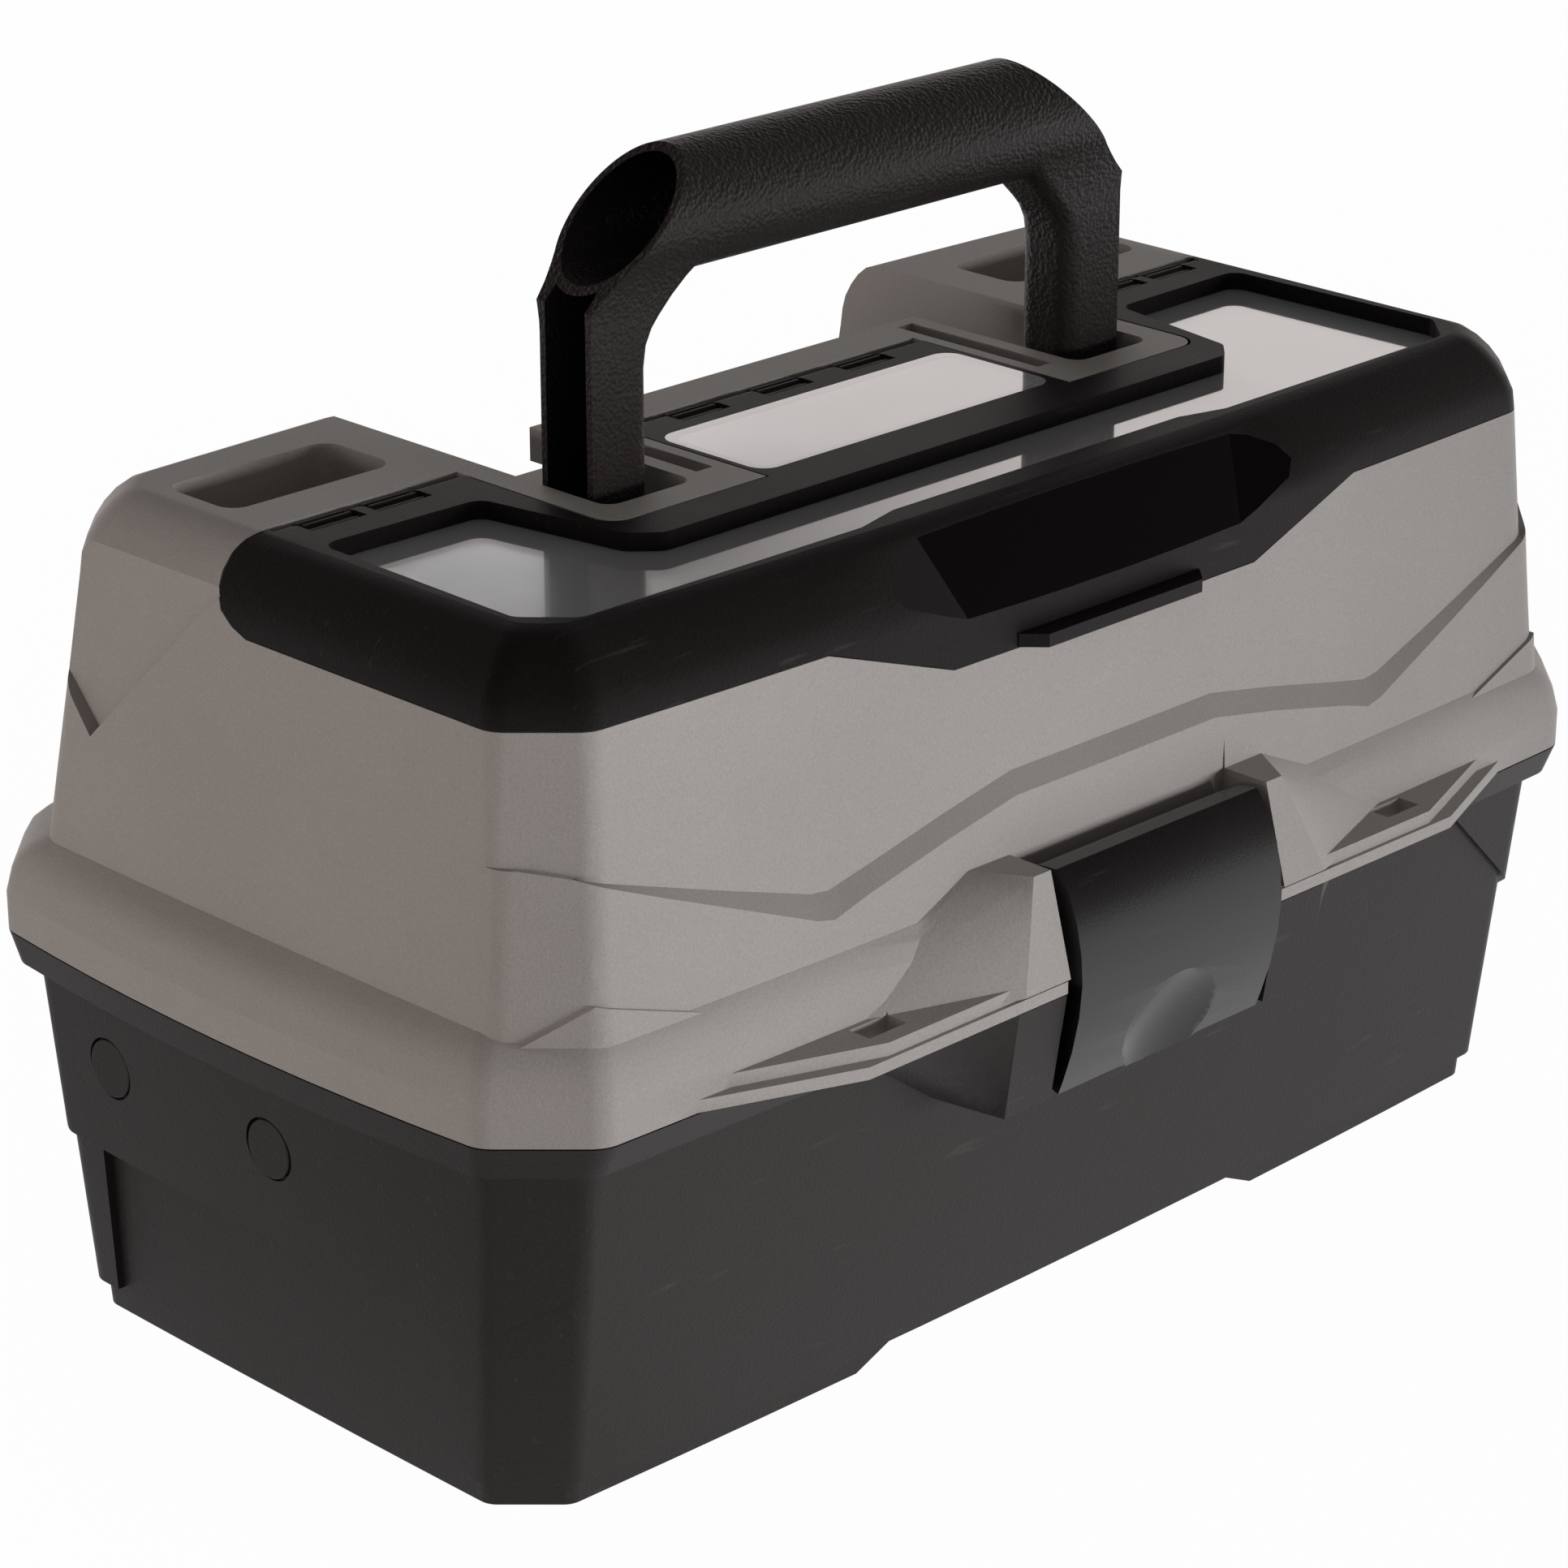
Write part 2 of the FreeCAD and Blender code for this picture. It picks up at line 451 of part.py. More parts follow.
def outline(name, grow="0", label=None):
    """An eight-sided outline of the LEVELS table with rounded corners and bowed sides, grown outwards."""
    sketch = add("Sketcher::SketchObject", (label or name) + "_outline")
    bind(sketch, "Placement.Base.z", name + "_height")
    spread = {
        "half_length": "%s_half_length + %s" % (name, grow),
        "front_side": "%s_front + %s" % (name, grow),
        "rear_side": "%s_rear + %s" % (name, grow),
        "corner_cut": name + "_corner",
        "corner_round": name + "_round",
        "end_bow": name + "_end_bow",
        "face_bow": name + "_face_bow",
    }
    for key, text in spread.items():
        sketch.addProperty("App::PropertyFloat", key, "Outline")
        bind(sketch, key, text)
    sketch.recompute()
    long_x = "half_length"
    short_x = "(half_length - corner_cut)"
    corners = (
        ("-" + short_x, "-front_side"), (short_x, "-front_side"),
        (long_x, "-(front_side - corner_cut)"), (long_x, "(rear_side - corner_cut)"),
        (short_x, "rear_side"), ("-" + short_x, "rear_side"),
        ("-" + long_x, "(rear_side - corner_cut)"), ("-" + long_x, "-(front_side - corner_cut)"),
    )
    length, front, rear = sketch.half_length, sketch.front_side, sketch.rear_side
    cut, rounding = sketch.corner_cut, sketch.corner_round
    spots = (
        (-length + cut, -front), (length - cut, -front), (length, -front + cut), (length, rear - cut),
        (length - cut, rear), (-length + cut, rear), (-length, rear - cut), (-length, -front + cut),
    )
    steps = ((1, 0), (1, 1), (0, 1), (-1, 1), (-1, 0), (-1, -1), (0, -1), (1, -1))
    trim_straight = math.tan(math.radians(22.5))
    trim_slant = trim_straight * math.sqrt(0.5)
    ends = []
    for index, (east, north) in enumerate(steps):
        share = trim_slant if east and north else trim_straight
        for spot, sign in ((index, 1), ((index + 1) % 8, -1)):
            shift_x, shift_y = sign * share * east, sign * share * north
            place = Vector(spots[spot][0] + shift_x * rounding, spots[spot][1] + shift_y * rounding, 0)
            text_x = "%s + %.6f * corner_round" % (corners[spot][0], shift_x)
            text_y = "%s + %.6f * corner_round" % (corners[spot][1], shift_y)
            ends.append((place, text_x, text_y))
    bows = {0: (sketch.face_bow, "face_bow"), 2: (sketch.end_bow, "end_bow"),
            4: (sketch.face_bow, "face_bow"), 6: (sketch.end_bow, "end_bow")}
    arcs = []
    for index, (east, north) in enumerate(steps):
        begin, finish = ends[2 * index][0], ends[2 * index + 1][0]
        outward = Vector(north, -east, 0)
        outward.normalize()
        if index in bows:
            bow, word = bows[index]
            edge = Part.Arc(begin, (begin + finish) * 0.5 + outward * bow, finish)
            spoken = 1 if east else 2
            half = "((%s) - (%s)) / 2" % (ends[2 * index + 1][spoken], ends[2 * index][spoken])
            arcs.append((sketch.addGeometry(edge), "((%s)^2 + %s^2) / (2 * %s)" % (half, word, word)))
        else:
            sketch.addGeometry(Part.LineSegment(begin, finish))
        follow = ends[(2 * index + 2) % 16][0]
        corner = Vector(*spots[(index + 1) % 8], 0)
        inward = (begin + finish) * 0.5 - outward - (begin + finish) * 0.5
        centre = finish + inward * rounding
        middle = centre + (corner - centre).normalize() * rounding
        arcs.append((sketch.addGeometry(Part.Arc(finish, middle, follow)), "corner_round"))
    for index in range(16):
        sketch.addConstraint(Sketcher.Constraint("Coincident", index, 2, (index + 1) % 16, 1))
        place, text_x, text_y = ends[index]
        across = sketch.addConstraint(Sketcher.Constraint("DistanceX", -1, 1, index, 1, place.x))
        along = sketch.addConstraint(Sketcher.Constraint("DistanceY", -1, 1, index, 1, place.y))
        sketch.setExpression("Constraints[%d]" % across, text_x)
        sketch.setExpression("Constraints[%d]" % along, text_y)
    for index, text in arcs:
        radius = sketch.addConstraint(Sketcher.Constraint("Radius", index, sketch.Geometry[index].Radius))
        sketch.setExpression("Constraints[%d]" % radius, text)
    return sketch


def soften(thing, radius, chosen):
    """Round the upright edges of a straight solid whose middle lies where chosen says."""
    for source in thing.OutList:
        source.recompute()
    thing.recompute()
    size = sheet.get(radius)
    picks = []
    for index, edge in enumerate(thing.Shape.Edges, start=1):
        middle = edge.BoundBox.Center
        if edge.BoundBox.ZLength > edge.BoundBox.XLength + edge.BoundBox.YLength and chosen(middle):
            picks.append((index, size, size))
    return add("Part::Fillet", thing.Name + "_soft", Base=thing, Edges=picks)


def everywhere(middle):
    return True


def loft(name, sections):
    return add("Part::Loft", name, Sections=sections, Solid=True, Ruled=True)


def form(name, levels, grow="0", label=""):
    """A solid through outlines of the LEVELS table."""
    return loft(name, [outline(level, grow, label + level) for level in levels])


def fuse(name, *things):
    return add("Part::MultiFuse", name, Shapes=list(things))


def common(name, *things):
    return add("Part::MultiCommon", name, Shapes=list(things))


def cut(name, body, *tools):
    tool = tools[0] if len(tools) == 1 else fuse(name + "_tools", *tools)
    return add("Part::Cut", name, Base=body, Tool=tool)


def mirror(name, source):
    """The same solid on the other end of the box."""
    return add("Part::Mirroring", name, Source=source, Normal=Vector(1, 0, 0), Base=Vector())


def both(thing):
    return [thing, mirror(thing.Name + "_mirror", thing)]


# Base tub: plinth, sloping wall, rim, end bands, ears beside the latch, hinge barrels
plinth = form("plinth", ["plinth_foot", "plinth_head"])
tub_wall = form("tub_wall", ["wall_foot", "wall_head"])
rim = form("rim", ["rim_root", "rim_edge", "rim_top"])
band_layer = form("band_layer", ["wall_foot", "wall_head"], "band_rise", "band_")
band_zone = prism("band", "XZ", "0 - reach", "reach")
bands = common("bands", band_layer, fuse("band_zones", *both(band_zone)))
panel = prism("panel", "XZ", "0 - panel_half", "panel_half")
arch = prism("arch", "XZ", "0 - reach", "reach")
ear = loft("ear", [trace("ear_foot", "XY", "ear_low"), trace("ear_head", "XY", "rim_top_height")])
hollow = form("hollow", ["hollow_foot", "hollow_head"])
underside = form("underside", ["under_foot", "under_head"])


def hinge_barrel(name, start, end, low, high):
    """One hinge barrel on the right with the web that carries it."""
    barrel = rod(name + "_barrel", start, end, "hinge_rear", "hinge_height", "hinge_barrel_radius")
    web = add("Part::Box", name + "_web")
    bind(web, "Placement.Base.x", start)
    bind(web, "Placement.Base.y", "hinge_web_front")
    bind(web, "Placement.Base.z", low)
    bind(web, "Length", "(%s) - (%s)" % (end, start))
    bind(web, "Width", "hinge_rear - hinge_web_front")
    bind(web, "Height", "(%s) - (%s)" % (high, low))
    return [barrel, web]


outer_barrel = hinge_barrel(
    "outer_knuckle", "outer_barrel_start", "outer_barrel_end", "base_web_low", "hinge_height")
inner_barrel = hinge_barrel(
    "inner_knuckle", "inner_barrel_start", "inner_barrel_end", "base_web_low", "hinge_height")
base_knuckles = fuse("base_knuckles", *outer_barrel, *inner_barrel)
base_bore = rod(
    "base_bore", "inner_barrel_start - bore_over", "outer_barrel_end + bore_over",
    "hinge_rear", "hinge_height", "hinge_pin_radius")
tub_solid = fuse("tub_solid", plinth, tub_wall, rim, bands, *both(ear))
tub_open = cut("tub_open", tub_solid, hollow, underside, arch, *both(panel))
tub_trim = fuse("tub_trim", tub_open, box("catch"), *both(base_knuckles))
rivet_bores = []
for word in ("front", "rear"):
    pivot = "rivet_" + word
    seat_floor = "rivet_head_depth - %s_rivet_face" % word
    bore = rod(
        "rivet_bore_" + word, "0 - wall_outside", "0 - wall_inside", pivot, "rivet_height", "rivet_radius")
    seat = rod(
        "rivet_seat_" + word, "0 - wall_outside", seat_floor, pivot, "rivet_height", "rivet_seat_radius")
    rivet_bores += both(bore) + both(seat)
base_tub = cut("base_tub", tub_trim, *both(base_bore), *rivet_bores)

# Lid shell: flange, body, relief steps, latch housing, wells and compartments
FLANGE_LEVELS = ["flange_foot", "flange_edge", "flange_turn", "flange_bend", "flange_slope", "flange_head"]
FORM_LEVELS = [
    "form_foot", "form_head", "form_turn", "form_bend", "form_slope", "form_curve", "form_crest", "form_top",
]
flange = form("flange", FLANGE_LEVELS)
body = form("body", FORM_LEVELS)
crease_zone = prism("crease", "XZ", "front_limit", "relief_rear")
relief = common("relief", form("relief_layer", ["relief_foot", "relief_head"]), crease_zone)
fold_zone = prism("fold", "XZ", "front_limit", "relief_rear")
fold = common("fold_step", form("fold_layer", ["fold_foot", "fold_head"]), fold_zone)
ledge_low = prism("ledge_low", "XY", "flange_foot_height", "ledge_low_top")
ledge_high = prism("ledge_high", "XY", "flange_foot_height", "ledge_high_top")
housing = loft(
    "housing", [trace("housing_foot", "XY", "housing_low"), trace("housing_head", "XY", "housing_high")])
scoop = common(
    "scoop", prism("scoop_side", "YZ", "0 - reach", "0 - wall_inside"),
    prism("scoop_depth", "XZ", "scoop_front", "scoop_rear"))
lid_barrel = fuse("lid_barrel", *hinge_barrel(
    "lid_knuckle", "inner_barrel_end + barrel_gap", "outer_barrel_start - barrel_gap", "flange_foot_height",
    "lid_web_high"))
lid_bore = rod(
    "lid_bore", "inner_barrel_end - bore_over", "outer_barrel_start + bore_over",
    "hinge_rear", "hinge_height",
    "hinge_pin_radius + run_gap")
cavity = form("cavity", ["cavity_foot", "cavity_middle", "cavity_head"])

# The seam between lid and top door: the end wings of the door turn in round sockets of the lid
wing_end = rod(
    "wing_end", "0 - reach", "0 - wing_side", "door_axis_rear", "door_axis_height", "wing_end_radius")
wing = fuse("wing", prism("wing", "YZ", "0 - reach", "0 - wing_side"), wing_end)
wing_space = prism("wing", "YZ", "0 - reach", "0 - wing_clear_side", "wing_space")
bind(wing_space, "Placement.Base.y", "wing_gap")
wing_socket = rod(
    "wing_socket", "0 - reach", "0 - wing_clear_side", "door_axis_rear", "door_axis_height",
    "wing_socket_radius")
wing_clear = fuse("wing_clear", wing_space, wing_socket)
door_zone = common(
    "door_zone", prism("skirt", "XZ", "front_limit", "door_zone_rear"),
    fuse("door_plan", *both(wing), box("door_centre")))
lid_zone = common(
    "lid_zone", prism("skirt", "XZ", "front_limit", "door_zone_rear", "lid_skirt", "-part_gap"),
    fuse("lid_plan", *both(wing_clear), box("lid_centre")))


def at_front(middle):
    return middle.y < 0


def at_front_and_outside(middle):
    return middle.y < 0 and middle.x < -60


store_form = form("store_form", ["store_foot", "store_head"])
stores = common("stores", store_form, fuse("store_plan", box("store_front"), *both(box("store_side"))))
lid_solid = fuse("lid_solid", flange, body, relief, fold, ledge_low, ledge_high, housing, *both(lid_barrel))
lid_top = cut("lid_top", lid_solid, lid_zone)
lid_block = fuse("lid_block", lid_top, soften(box("block"), "block_round", at_front))
channels = both(soften(box("channel"), "well_round", at_front))
lid_wells = cut("lid_wells", lid_block, box("well"), *channels)
lid_strip = fuse("lid_strip", lid_wells, box("strip"))
link_rear = "hinge_rear - arm_forward"
link_height = "hinge_height + arm_rise"
link_bore = rod(
    "link_bore", "0 - link_pin_outer", "0 - link_bore_inner", link_rear, link_height, "tray_pin_radius")
lid_space = cut(
    "lid_space", lid_strip, box("door_seat"), *both(box("strap_slot")), stores, box("store_centre"), cavity,
    *both(box("tower_hollow")), *both(soften(box("cup"), "cup_round", everywhere)), box("latch_space"),
    box("latch_drop"), *both(box("padlock_slot")), *both(link_bore))
scoop_backing = common("scoop_wall", body, box("scoop_backing"))
latch_bore = rod(
    "latch_bore", "0 - latch_seat_half", "latch_seat_half", "latch_axis_y", "latch_axis_height",
    "latch_pin_radius")
handle_bore = rod(
    "handle_bore", "0 - handle_bore_outer", "0 - handle_bore_inner", "handle_axis_y", "handle_axis_height",
    "handle_pin_radius + run_gap")


def at_knuckles(make):
    """One copy of a small solid at each knuckle of the door hinge."""
    things = []
    for word in ("end", "inner", "middle"):
        things += both(make("knuckle_" + word, "0 - knuckle_" + word))
    return things + [make("knuckle_centre", "0")]


def slab(label, middle, half, front, rear, low, high):
    """A box that straddles a position along X."""
    thing = add("Part::Box", label)
    bind(thing, "Placement.Base.x", "(%s) - (%s)" % (middle, half))
    bind(thing, "Placement.Base.y", front)
    bind(thing, "Placement.Base.z", low)
    bind(thing, "Length", "2 * (%s)" % half)
    bind(thing, "Width", "(%s) - (%s)" % (rear, front))
    bind(thing, "Height", "(%s) - (%s)" % (high, low))
    return thing


def door_knuckle(label, middle):
    """A barrel on the lid for the top door and the arm that carries it."""
    start, end = "(%s) - knuckle_half" % middle, "(%s) + knuckle_half" % middle
    barrel = rod(label + "_barrel", start, end, "door_axis_rear", "door_axis_height", "knuckle_radius")
    arm = slab(
        label + "_arm", middle, "knuckle_half", "door_axis_rear", "tower_face + knuckle_bite", "knuckle_low",
        "knuckle_high")
    return fuse(label + "_solid", barrel, arm)


def knuckle_bore(label, middle):
    start, end = "(%s) - knuckle_bore_half" % middle, "(%s) + knuckle_bore_half" % middle
    return rod(label + "_bore", start, end, "door_axis_rear", "door_axis_height", "door_rod_radius + run_gap")


lid_knuckles = fuse("lid_knuckles", lid_space, *both(scoop_backing), *at_knuckles(door_knuckle))
lid_shell = cut(
    "lid_shell", lid_knuckles, *both(scoop), *both(lid_bore), latch_bore, *both(handle_bore),
    *at_knuckles(knuckle_bore))

# Top door: frame with window recess and finger recess, two clear panes, hinge rods
end_barrel = rod(
    "end_barrel", "0 - end_barrel_outer", "0 - end_barrel_inner", "door_axis_rear", "door_axis_height",
    "door_barrel_radius")
middle_barrel = rod(
    "middle_barrel", "0 - middle_barrel_half", "middle_barrel_half", "door_axis_rear", "door_axis_height",
    "door_barrel_radius")
door_solid = fuse("door_solid", common("door_body", body, door_zone), *both(end_barrel), middle_barrel)


def finger_cut(label, shift):
    """The shallow recess of three faces in the front of the door, moved to the rear by shift."""
    low, high = "0 - facet_half", "facet_half"
    slope = extrude(
        label + "_slope", "YZ", low, high, trace("finger_slope", "YZ", low, label + "_slope", shifted=shift))
    near = trace("facet_near", "YZ", low, label + "_near", shifted=shift)
    far = trace("facet_far", "YZ", high, label + "_far", shifted=shift)
    return common(label, slope, *both(loft(label + "_facet", [near, far])))


finger_recess = finger_cut("finger_recess", "0")
finger_pocket = finger_cut("finger_pocket", "finger_wall")
door_hollow = cut("door_hollow", form("door_inside", ["door_hollow_foot", "door_hollow_head"]), finger_pocket)
end_rod_bore = rod(
    "end_rod_bore", "0 - end_barrel_outer - rod_bore_over", "rod_bore_over - end_barrel_inner",
    "door_axis_rear", "door_axis_height", "door_rod_radius")
middle_rod_bore = rod(
    "middle_rod_bore", "0 - middle_barrel_half - rod_bore_over", "middle_barrel_half + rod_bore_over",
    "door_axis_rear", "door_axis_height", "door_rod_radius")


def door_notch(label, middle):
    return slab(label + "_notch", middle, "notch_half", "notch_front", "notch_rear", "door_low", "door_high")


door_slots = both(soften(box("door_slot"), "slot_round", at_front_and_outside))
window_cut = soften(prism("window", "XY", "door_low", "door_high"), "window_round", everywhere)
glass_hole = soften(box("glass_hole"), "glass_hole_round", everywhere)
glass_rebate = soften(box("glass_rebate"), "glass_round", everywhere)
door_open = cut(
    "door_open", door_solid, door_hollow, box("door_rear_trim"), *door_slots, window_cut,
    prism("pane", "XY", "door_low", "pane_high", "rebate"), glass_hole, glass_rebate, finger_recess,
    *at_knuckles(door_notch), *both(end_rod_bore), middle_rod_bore)
door_frame = fuse("door_frame", door_open, prism("lift_tab", "XY", "lift_tab_low", "lift_tab_high"))
front_window = prism("pane", "XY", "pane_low", "pane_high", "front_window")
centre_window = soften(box("centre_glass"), "glass_round", everywhere)
door_rod_left = rod(
    "door_rod_left", "rod_short - end_barrel_outer", "0 - end_barrel_inner - rod_short", "door_axis_rear",
    "door_axis_height", "door_rod_radius")
door_rod_centre = rod(
    "door_rod_centre", "0 - middle_rod_half", "middle_rod_half", "door_axis_rear", "door_axis_height",
    "door_rod_radius")
door_rod_right = mirror("door_rod_right", door_rod_left)


# Carry handle: hollow grip with slanted ends, two grooved legs, pivot pins
def leg_section(level):
    """A cross section of the left leg, square outside and rounded inside."""
    inner, front, rear = [level + "_" + word for word in ("inner", "front", "rear")]
    turns = [math.radians(90 * step / LEG_ROUND_STEPS) for step in range(LEG_ROUND_STEPS + 1)]
    corners = [("0 - leg_outer", front), ("0 - leg_outer", rear)]
    for turn in turns:
        across = "leg_round * %.6f - leg_round - %s" % (math.sin(turn), inner)
        corners.append((across, "%s - leg_round + leg_round * %.6f" % (rear, math.cos(turn))))
    for turn in turns:
        across = "leg_round * %.6f - leg_round - %s" % (math.cos(turn), inner)
        corners.append((across, "%s + leg_round - leg_round * %.6f" % (front, math.sin(turn))))
    return draw(level, "XY", level + "_height", corners)


grip = rod("grip", "0 - grip_half", "grip_half", "handle_axis_y", "grip_height", "grip_radius")
grip_bore = rod(
    "grip_bore", "0 - grip_bore_half", "grip_bore_half", "handle_axis_y", "grip_height", "grip_bore_radius")
leg_end = rod(
    "leg_end", "0 - leg_outer", "0 - leg_inner", "handle_axis_y", "handle_axis_height", "leg_end_radius")
leg_whole = fuse("leg_whole", loft("leg", [leg_section(level) for level in LEG_LEVELS]), leg_end)
leg = cut("leg_grooved", leg_whole, box("leg_groove"))
handle_solid = fuse("handle_solid", grip, *both(leg))
grip_end = prism("grip_end", "XZ", "0 - grip_cut_half", "grip_cut_half")
leg_bore = rod(
    "leg_bore", "0 - leg_bore_outer", "0 - leg_bore_inner", "handle_axis_y", "handle_axis_height",
    "handle_pin_radius")
carry_handle = cut("carry_handle", handle_solid, grip_bore, *both(grip_end), *both(leg_bore))
handle_pin_left = rod(
    "handle_pin_left", "0 - handle_pin_outer", "0 - handle_pin_inner", "handle_axis_y", "handle_axis_height",
    "handle_pin_radius")
handle_pin_right = mirror("handle_pin_right", handle_pin_left)

# Latch plate with its finger scoop, and its pin
latch_barrel = rod(
    "latch_barrel", "0 - latch_half", "latch_half", "latch_axis_y", "latch_axis_height",
    "latch_barrel_radius")
finger_lip = prism("finger_lip", "XZ", "lip_front", "lip_rear")
latch_solid = fuse(
    "latch_solid", prism("latch_side", "YZ", "0 - latch_half", "latch_half"), latch_barrel, finger_lip,
    box("hook"))
finger_dish = add("Part::Sphere", "finger_dish")
bind(finger_dish, "Placement.Base.y", "dish_front")
bind(finger_dish, "Placement.Base.z", "dish_height")
bind(finger_dish, "Radius", "dish_radius")
latch_run = rod(
    "latch_run", "0 - latch_run_half", "latch_run_half", "latch_axis_y", "latch_axis_height",
    "latch_pin_radius + run_gap")
latch_plate = cut("latch_plate", latch_solid, finger_dish, latch_run)
latch_pin = rod(
    "latch_pin", "0 - latch_pin_half", "latch_pin_half", "latch_axis_y", "latch_axis_height",
    "latch_pin_radius")


# Lift arms, their rivets and the tray
def arm(label, pivot, inner):
    """A flat arm on the left between a base rivet and a tray pin."""
    outer = "0 - %s - arm_thickness" % inner
    inner = "0 - %s" % inner
    far, far_height = "%s - arm_forward" % pivot, "rivet_height + arm_rise"
    side_y = "arm_radius * arm_rise / sqrt(arm_rise^2 + arm_forward^2)"
    side_z = "arm_radius * arm_forward / sqrt(arm_rise^2 + arm_forward^2)"
    corners = (
        ("%s + %s" % (pivot, side_y), "rivet_height + " + side_z),
        ("%s - %s" % (pivot, side_y), "rivet_height - " + side_z),
        ("%s - %s" % (far, side_y), "%s - %s" % (far_height, side_z)),
        ("%s + %s" % (far, side_y), "%s + %s" % (far_height, side_z)),
    )
    bar = extrude(label, "YZ", outer, inner, draw(label, "YZ", outer, corners))
    near_eye = rod(label + "_near_eye", outer, inner, pivot, "rivet_height", "arm_radius")
    far_eye = rod(label + "_far_eye", outer, inner, far, far_height, "arm_radius")
    start, end = "0 - arm_bore_outer", "0 - wall_inside"
    near_bore = rod(label + "_near_bore", start, end, pivot, "rivet_height", "rivet_radius + run_gap")
    far_bore = rod(label + "_far_bore", start, end, far, far_height, "tray_pin_radius + run_gap")
    return cut(label, fuse(label + "_solid", bar, near_eye, far_eye), near_bore, far_bore)


def rivet(word, inner):
    """A rivet on the left with a flat head set into the outside of the end wall."""
    label, pivot, face = word + "_rivet_left", "rivet_" + word, "0 - %s_rivet_face" % word
    neck = face + " + rivet_head_depth"
    shank = rod(label + "_shank", neck, "rivet_end_gap - %s" % inner, pivot, "rivet_height", "rivet_radius")
    head = rod(label + "_head", face, neck, pivot, "rivet_height", "rivet_head_radius")
    return fuse(label, head, shank)


front_arm_left = arm("front_arm_left", "rivet_front", "front_arm_inner")
front_arm_right = mirror("front_arm_right", front_arm_left)
rear_arm_left = arm("rear_arm_left", "rivet_rear", "rear_arm_inner")
rear_arm_right = mirror("rear_arm_right", rear_arm_left)
front_rivet_left = rivet("front", "front_arm_inner")
front_rivet_right = mirror("front_rivet_right", front_rivet_left)
rear_rivet_left = rivet("rear", "rear_arm_inner")
rear_rivet_right = mirror("rear_rivet_right", rear_rivet_left)
lid_hinge_pin_right = rod(
    "lid_hinge_pin_right", "inner_barrel_start - barrel_gap", "outer_barrel_end + barrel_gap", "hinge_rear",
    "hinge_height", "hinge_pin_radius")
lid_hinge_pin_left = mirror("lid_hinge_pin_left", lid_hinge_pin_right)

lug_outer = "0 - tray_half - lug_thickness"
lug_plate = prism("lug", "YZ", lug_outer, "lug_bite - tray_half")
lug_eye = rod("lug_eye", lug_outer, "0 - tray_half", link_rear, link_height, "lug_radius")
lug_bore = rod(
    "lug_bore", "0 - lug_bore_outer", "0 - wall_inside", link_rear, link_height, "tray_pin_radius + run_gap")
tray_bays = [box("tray_row"), *both(box("tray_end_bay")), *both(box("tray_middle_bay"))]
front_pin_y, rear_pin_y = "rivet_front - arm_forward", "rivet_rear - arm_forward"
tray_pin_height = "rivet_height + arm_rise"


def tray_pin(label, start, across):
    """A pin on the left from that position to its seat in the end wall of the tray."""
    return rod(label, "0 - " + start, "0 - tray_pin_inner", across, tray_pin_height, "tray_pin_radius")


tray_hollow = cut("tray_hollow", box("tray_block"), *tray_bays)
tray_lugs = fuse("tray_lugs", tray_hollow, *both(lug_plate), *both(lug_eye))
front_seat = tray_pin("front_seat", "tray_seat_outer", front_pin_y)
rear_seat = tray_pin("rear_seat", "tray_seat_outer", rear_pin_y)
tray = cut("tray", tray_lugs, *both(lug_bore), *both(front_seat), *both(rear_seat))
front_tray_pin_left = tray_pin("front_tray_pin_left", "front_arm_inner - arm_thickness", front_pin_y)
front_tray_pin_right = mirror("front_tray_pin_right", front_tray_pin_left)
rear_tray_pin_left = tray_pin("rear_tray_pin_left", "rear_arm_inner - arm_thickness", rear_pin_y)
rear_tray_pin_right = mirror("rear_tray_pin_right", rear_tray_pin_left)
link_pin_left = rod(
    "link_pin_left", "0 - link_pin_outer", "0 - link_pin_inner", link_rear, link_height, "tray_pin_radius")
link_pin_right = mirror("link_pin_right", link_pin_left)
doc.recompute()

# Names and files
NODES = {
    "base_tub": base_tub,
    "lid_hinge_pin_left": lid_hinge_pin_left,
    "lid_hinge_pin_right": lid_hinge_pin_right,
    "front_rivet_left": front_rivet_left,
    "front_rivet_right": front_rivet_right,
    "rear_rivet_left": rear_rivet_left,
    "rear_rivet_right": rear_rivet_right,
    "lid_shell": lid_shell,
    "latch_pin": latch_pin,
    "link_pin_left": link_pin_left,
    "link_pin_right": link_pin_right,
    "door_frame": door_frame,
    "front_window": front_window,
    "centre_window": centre_window,
    "door_rod_left": door_rod_left,
    "door_rod_centre": door_rod_centre,
    "door_rod_right": door_rod_right,
    "carry_handle": carry_handle,
    "handle_pin_left": handle_pin_left,
    "handle_pin_right": handle_pin_right,
    "latch_plate": latch_plate,
    "front_arm_left": front_arm_left,
    "front_arm_right": front_arm_right,
    "rear_arm_left": rear_arm_left,
    "rear_arm_right": rear_arm_right,
    "tray": tray,
    "front_tray_pin_left": front_tray_pin_left,
    "front_tray_pin_right": front_tray_pin_right,
    "rear_tray_pin_left": rear_tray_pin_left,
    "rear_tray_pin_right": rear_tray_pin_right,
}
for thing in doc.Objects:
    if "Invalid" in thing.State or "Error" in thing.State:
        raise RuntimeError("not computed: " + thing.Name)
os.makedirs("parts", exist_ok=True)
for name, thing in NODES.items():
    thing.Label = name
    if thing.Shape.isNull() or not thing.Shape.isValid() or len(thing.Shape.Solids) != 1:
        raise RuntimeError("not one valid solid: " + name)
    if len(thing.Shape.Shells) != 1:
        raise RuntimeError("not one closed skin: " + name)
    thing.Shape.exportStep("parts/" + name + ".step")
    print(name, round(thing.Shape.Volume), thing.Shape.BoundBox)
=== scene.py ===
"""Looks and stage for the art supply box: moulded plastic finishes, hinge ribs, panes, light and camera."""
import math

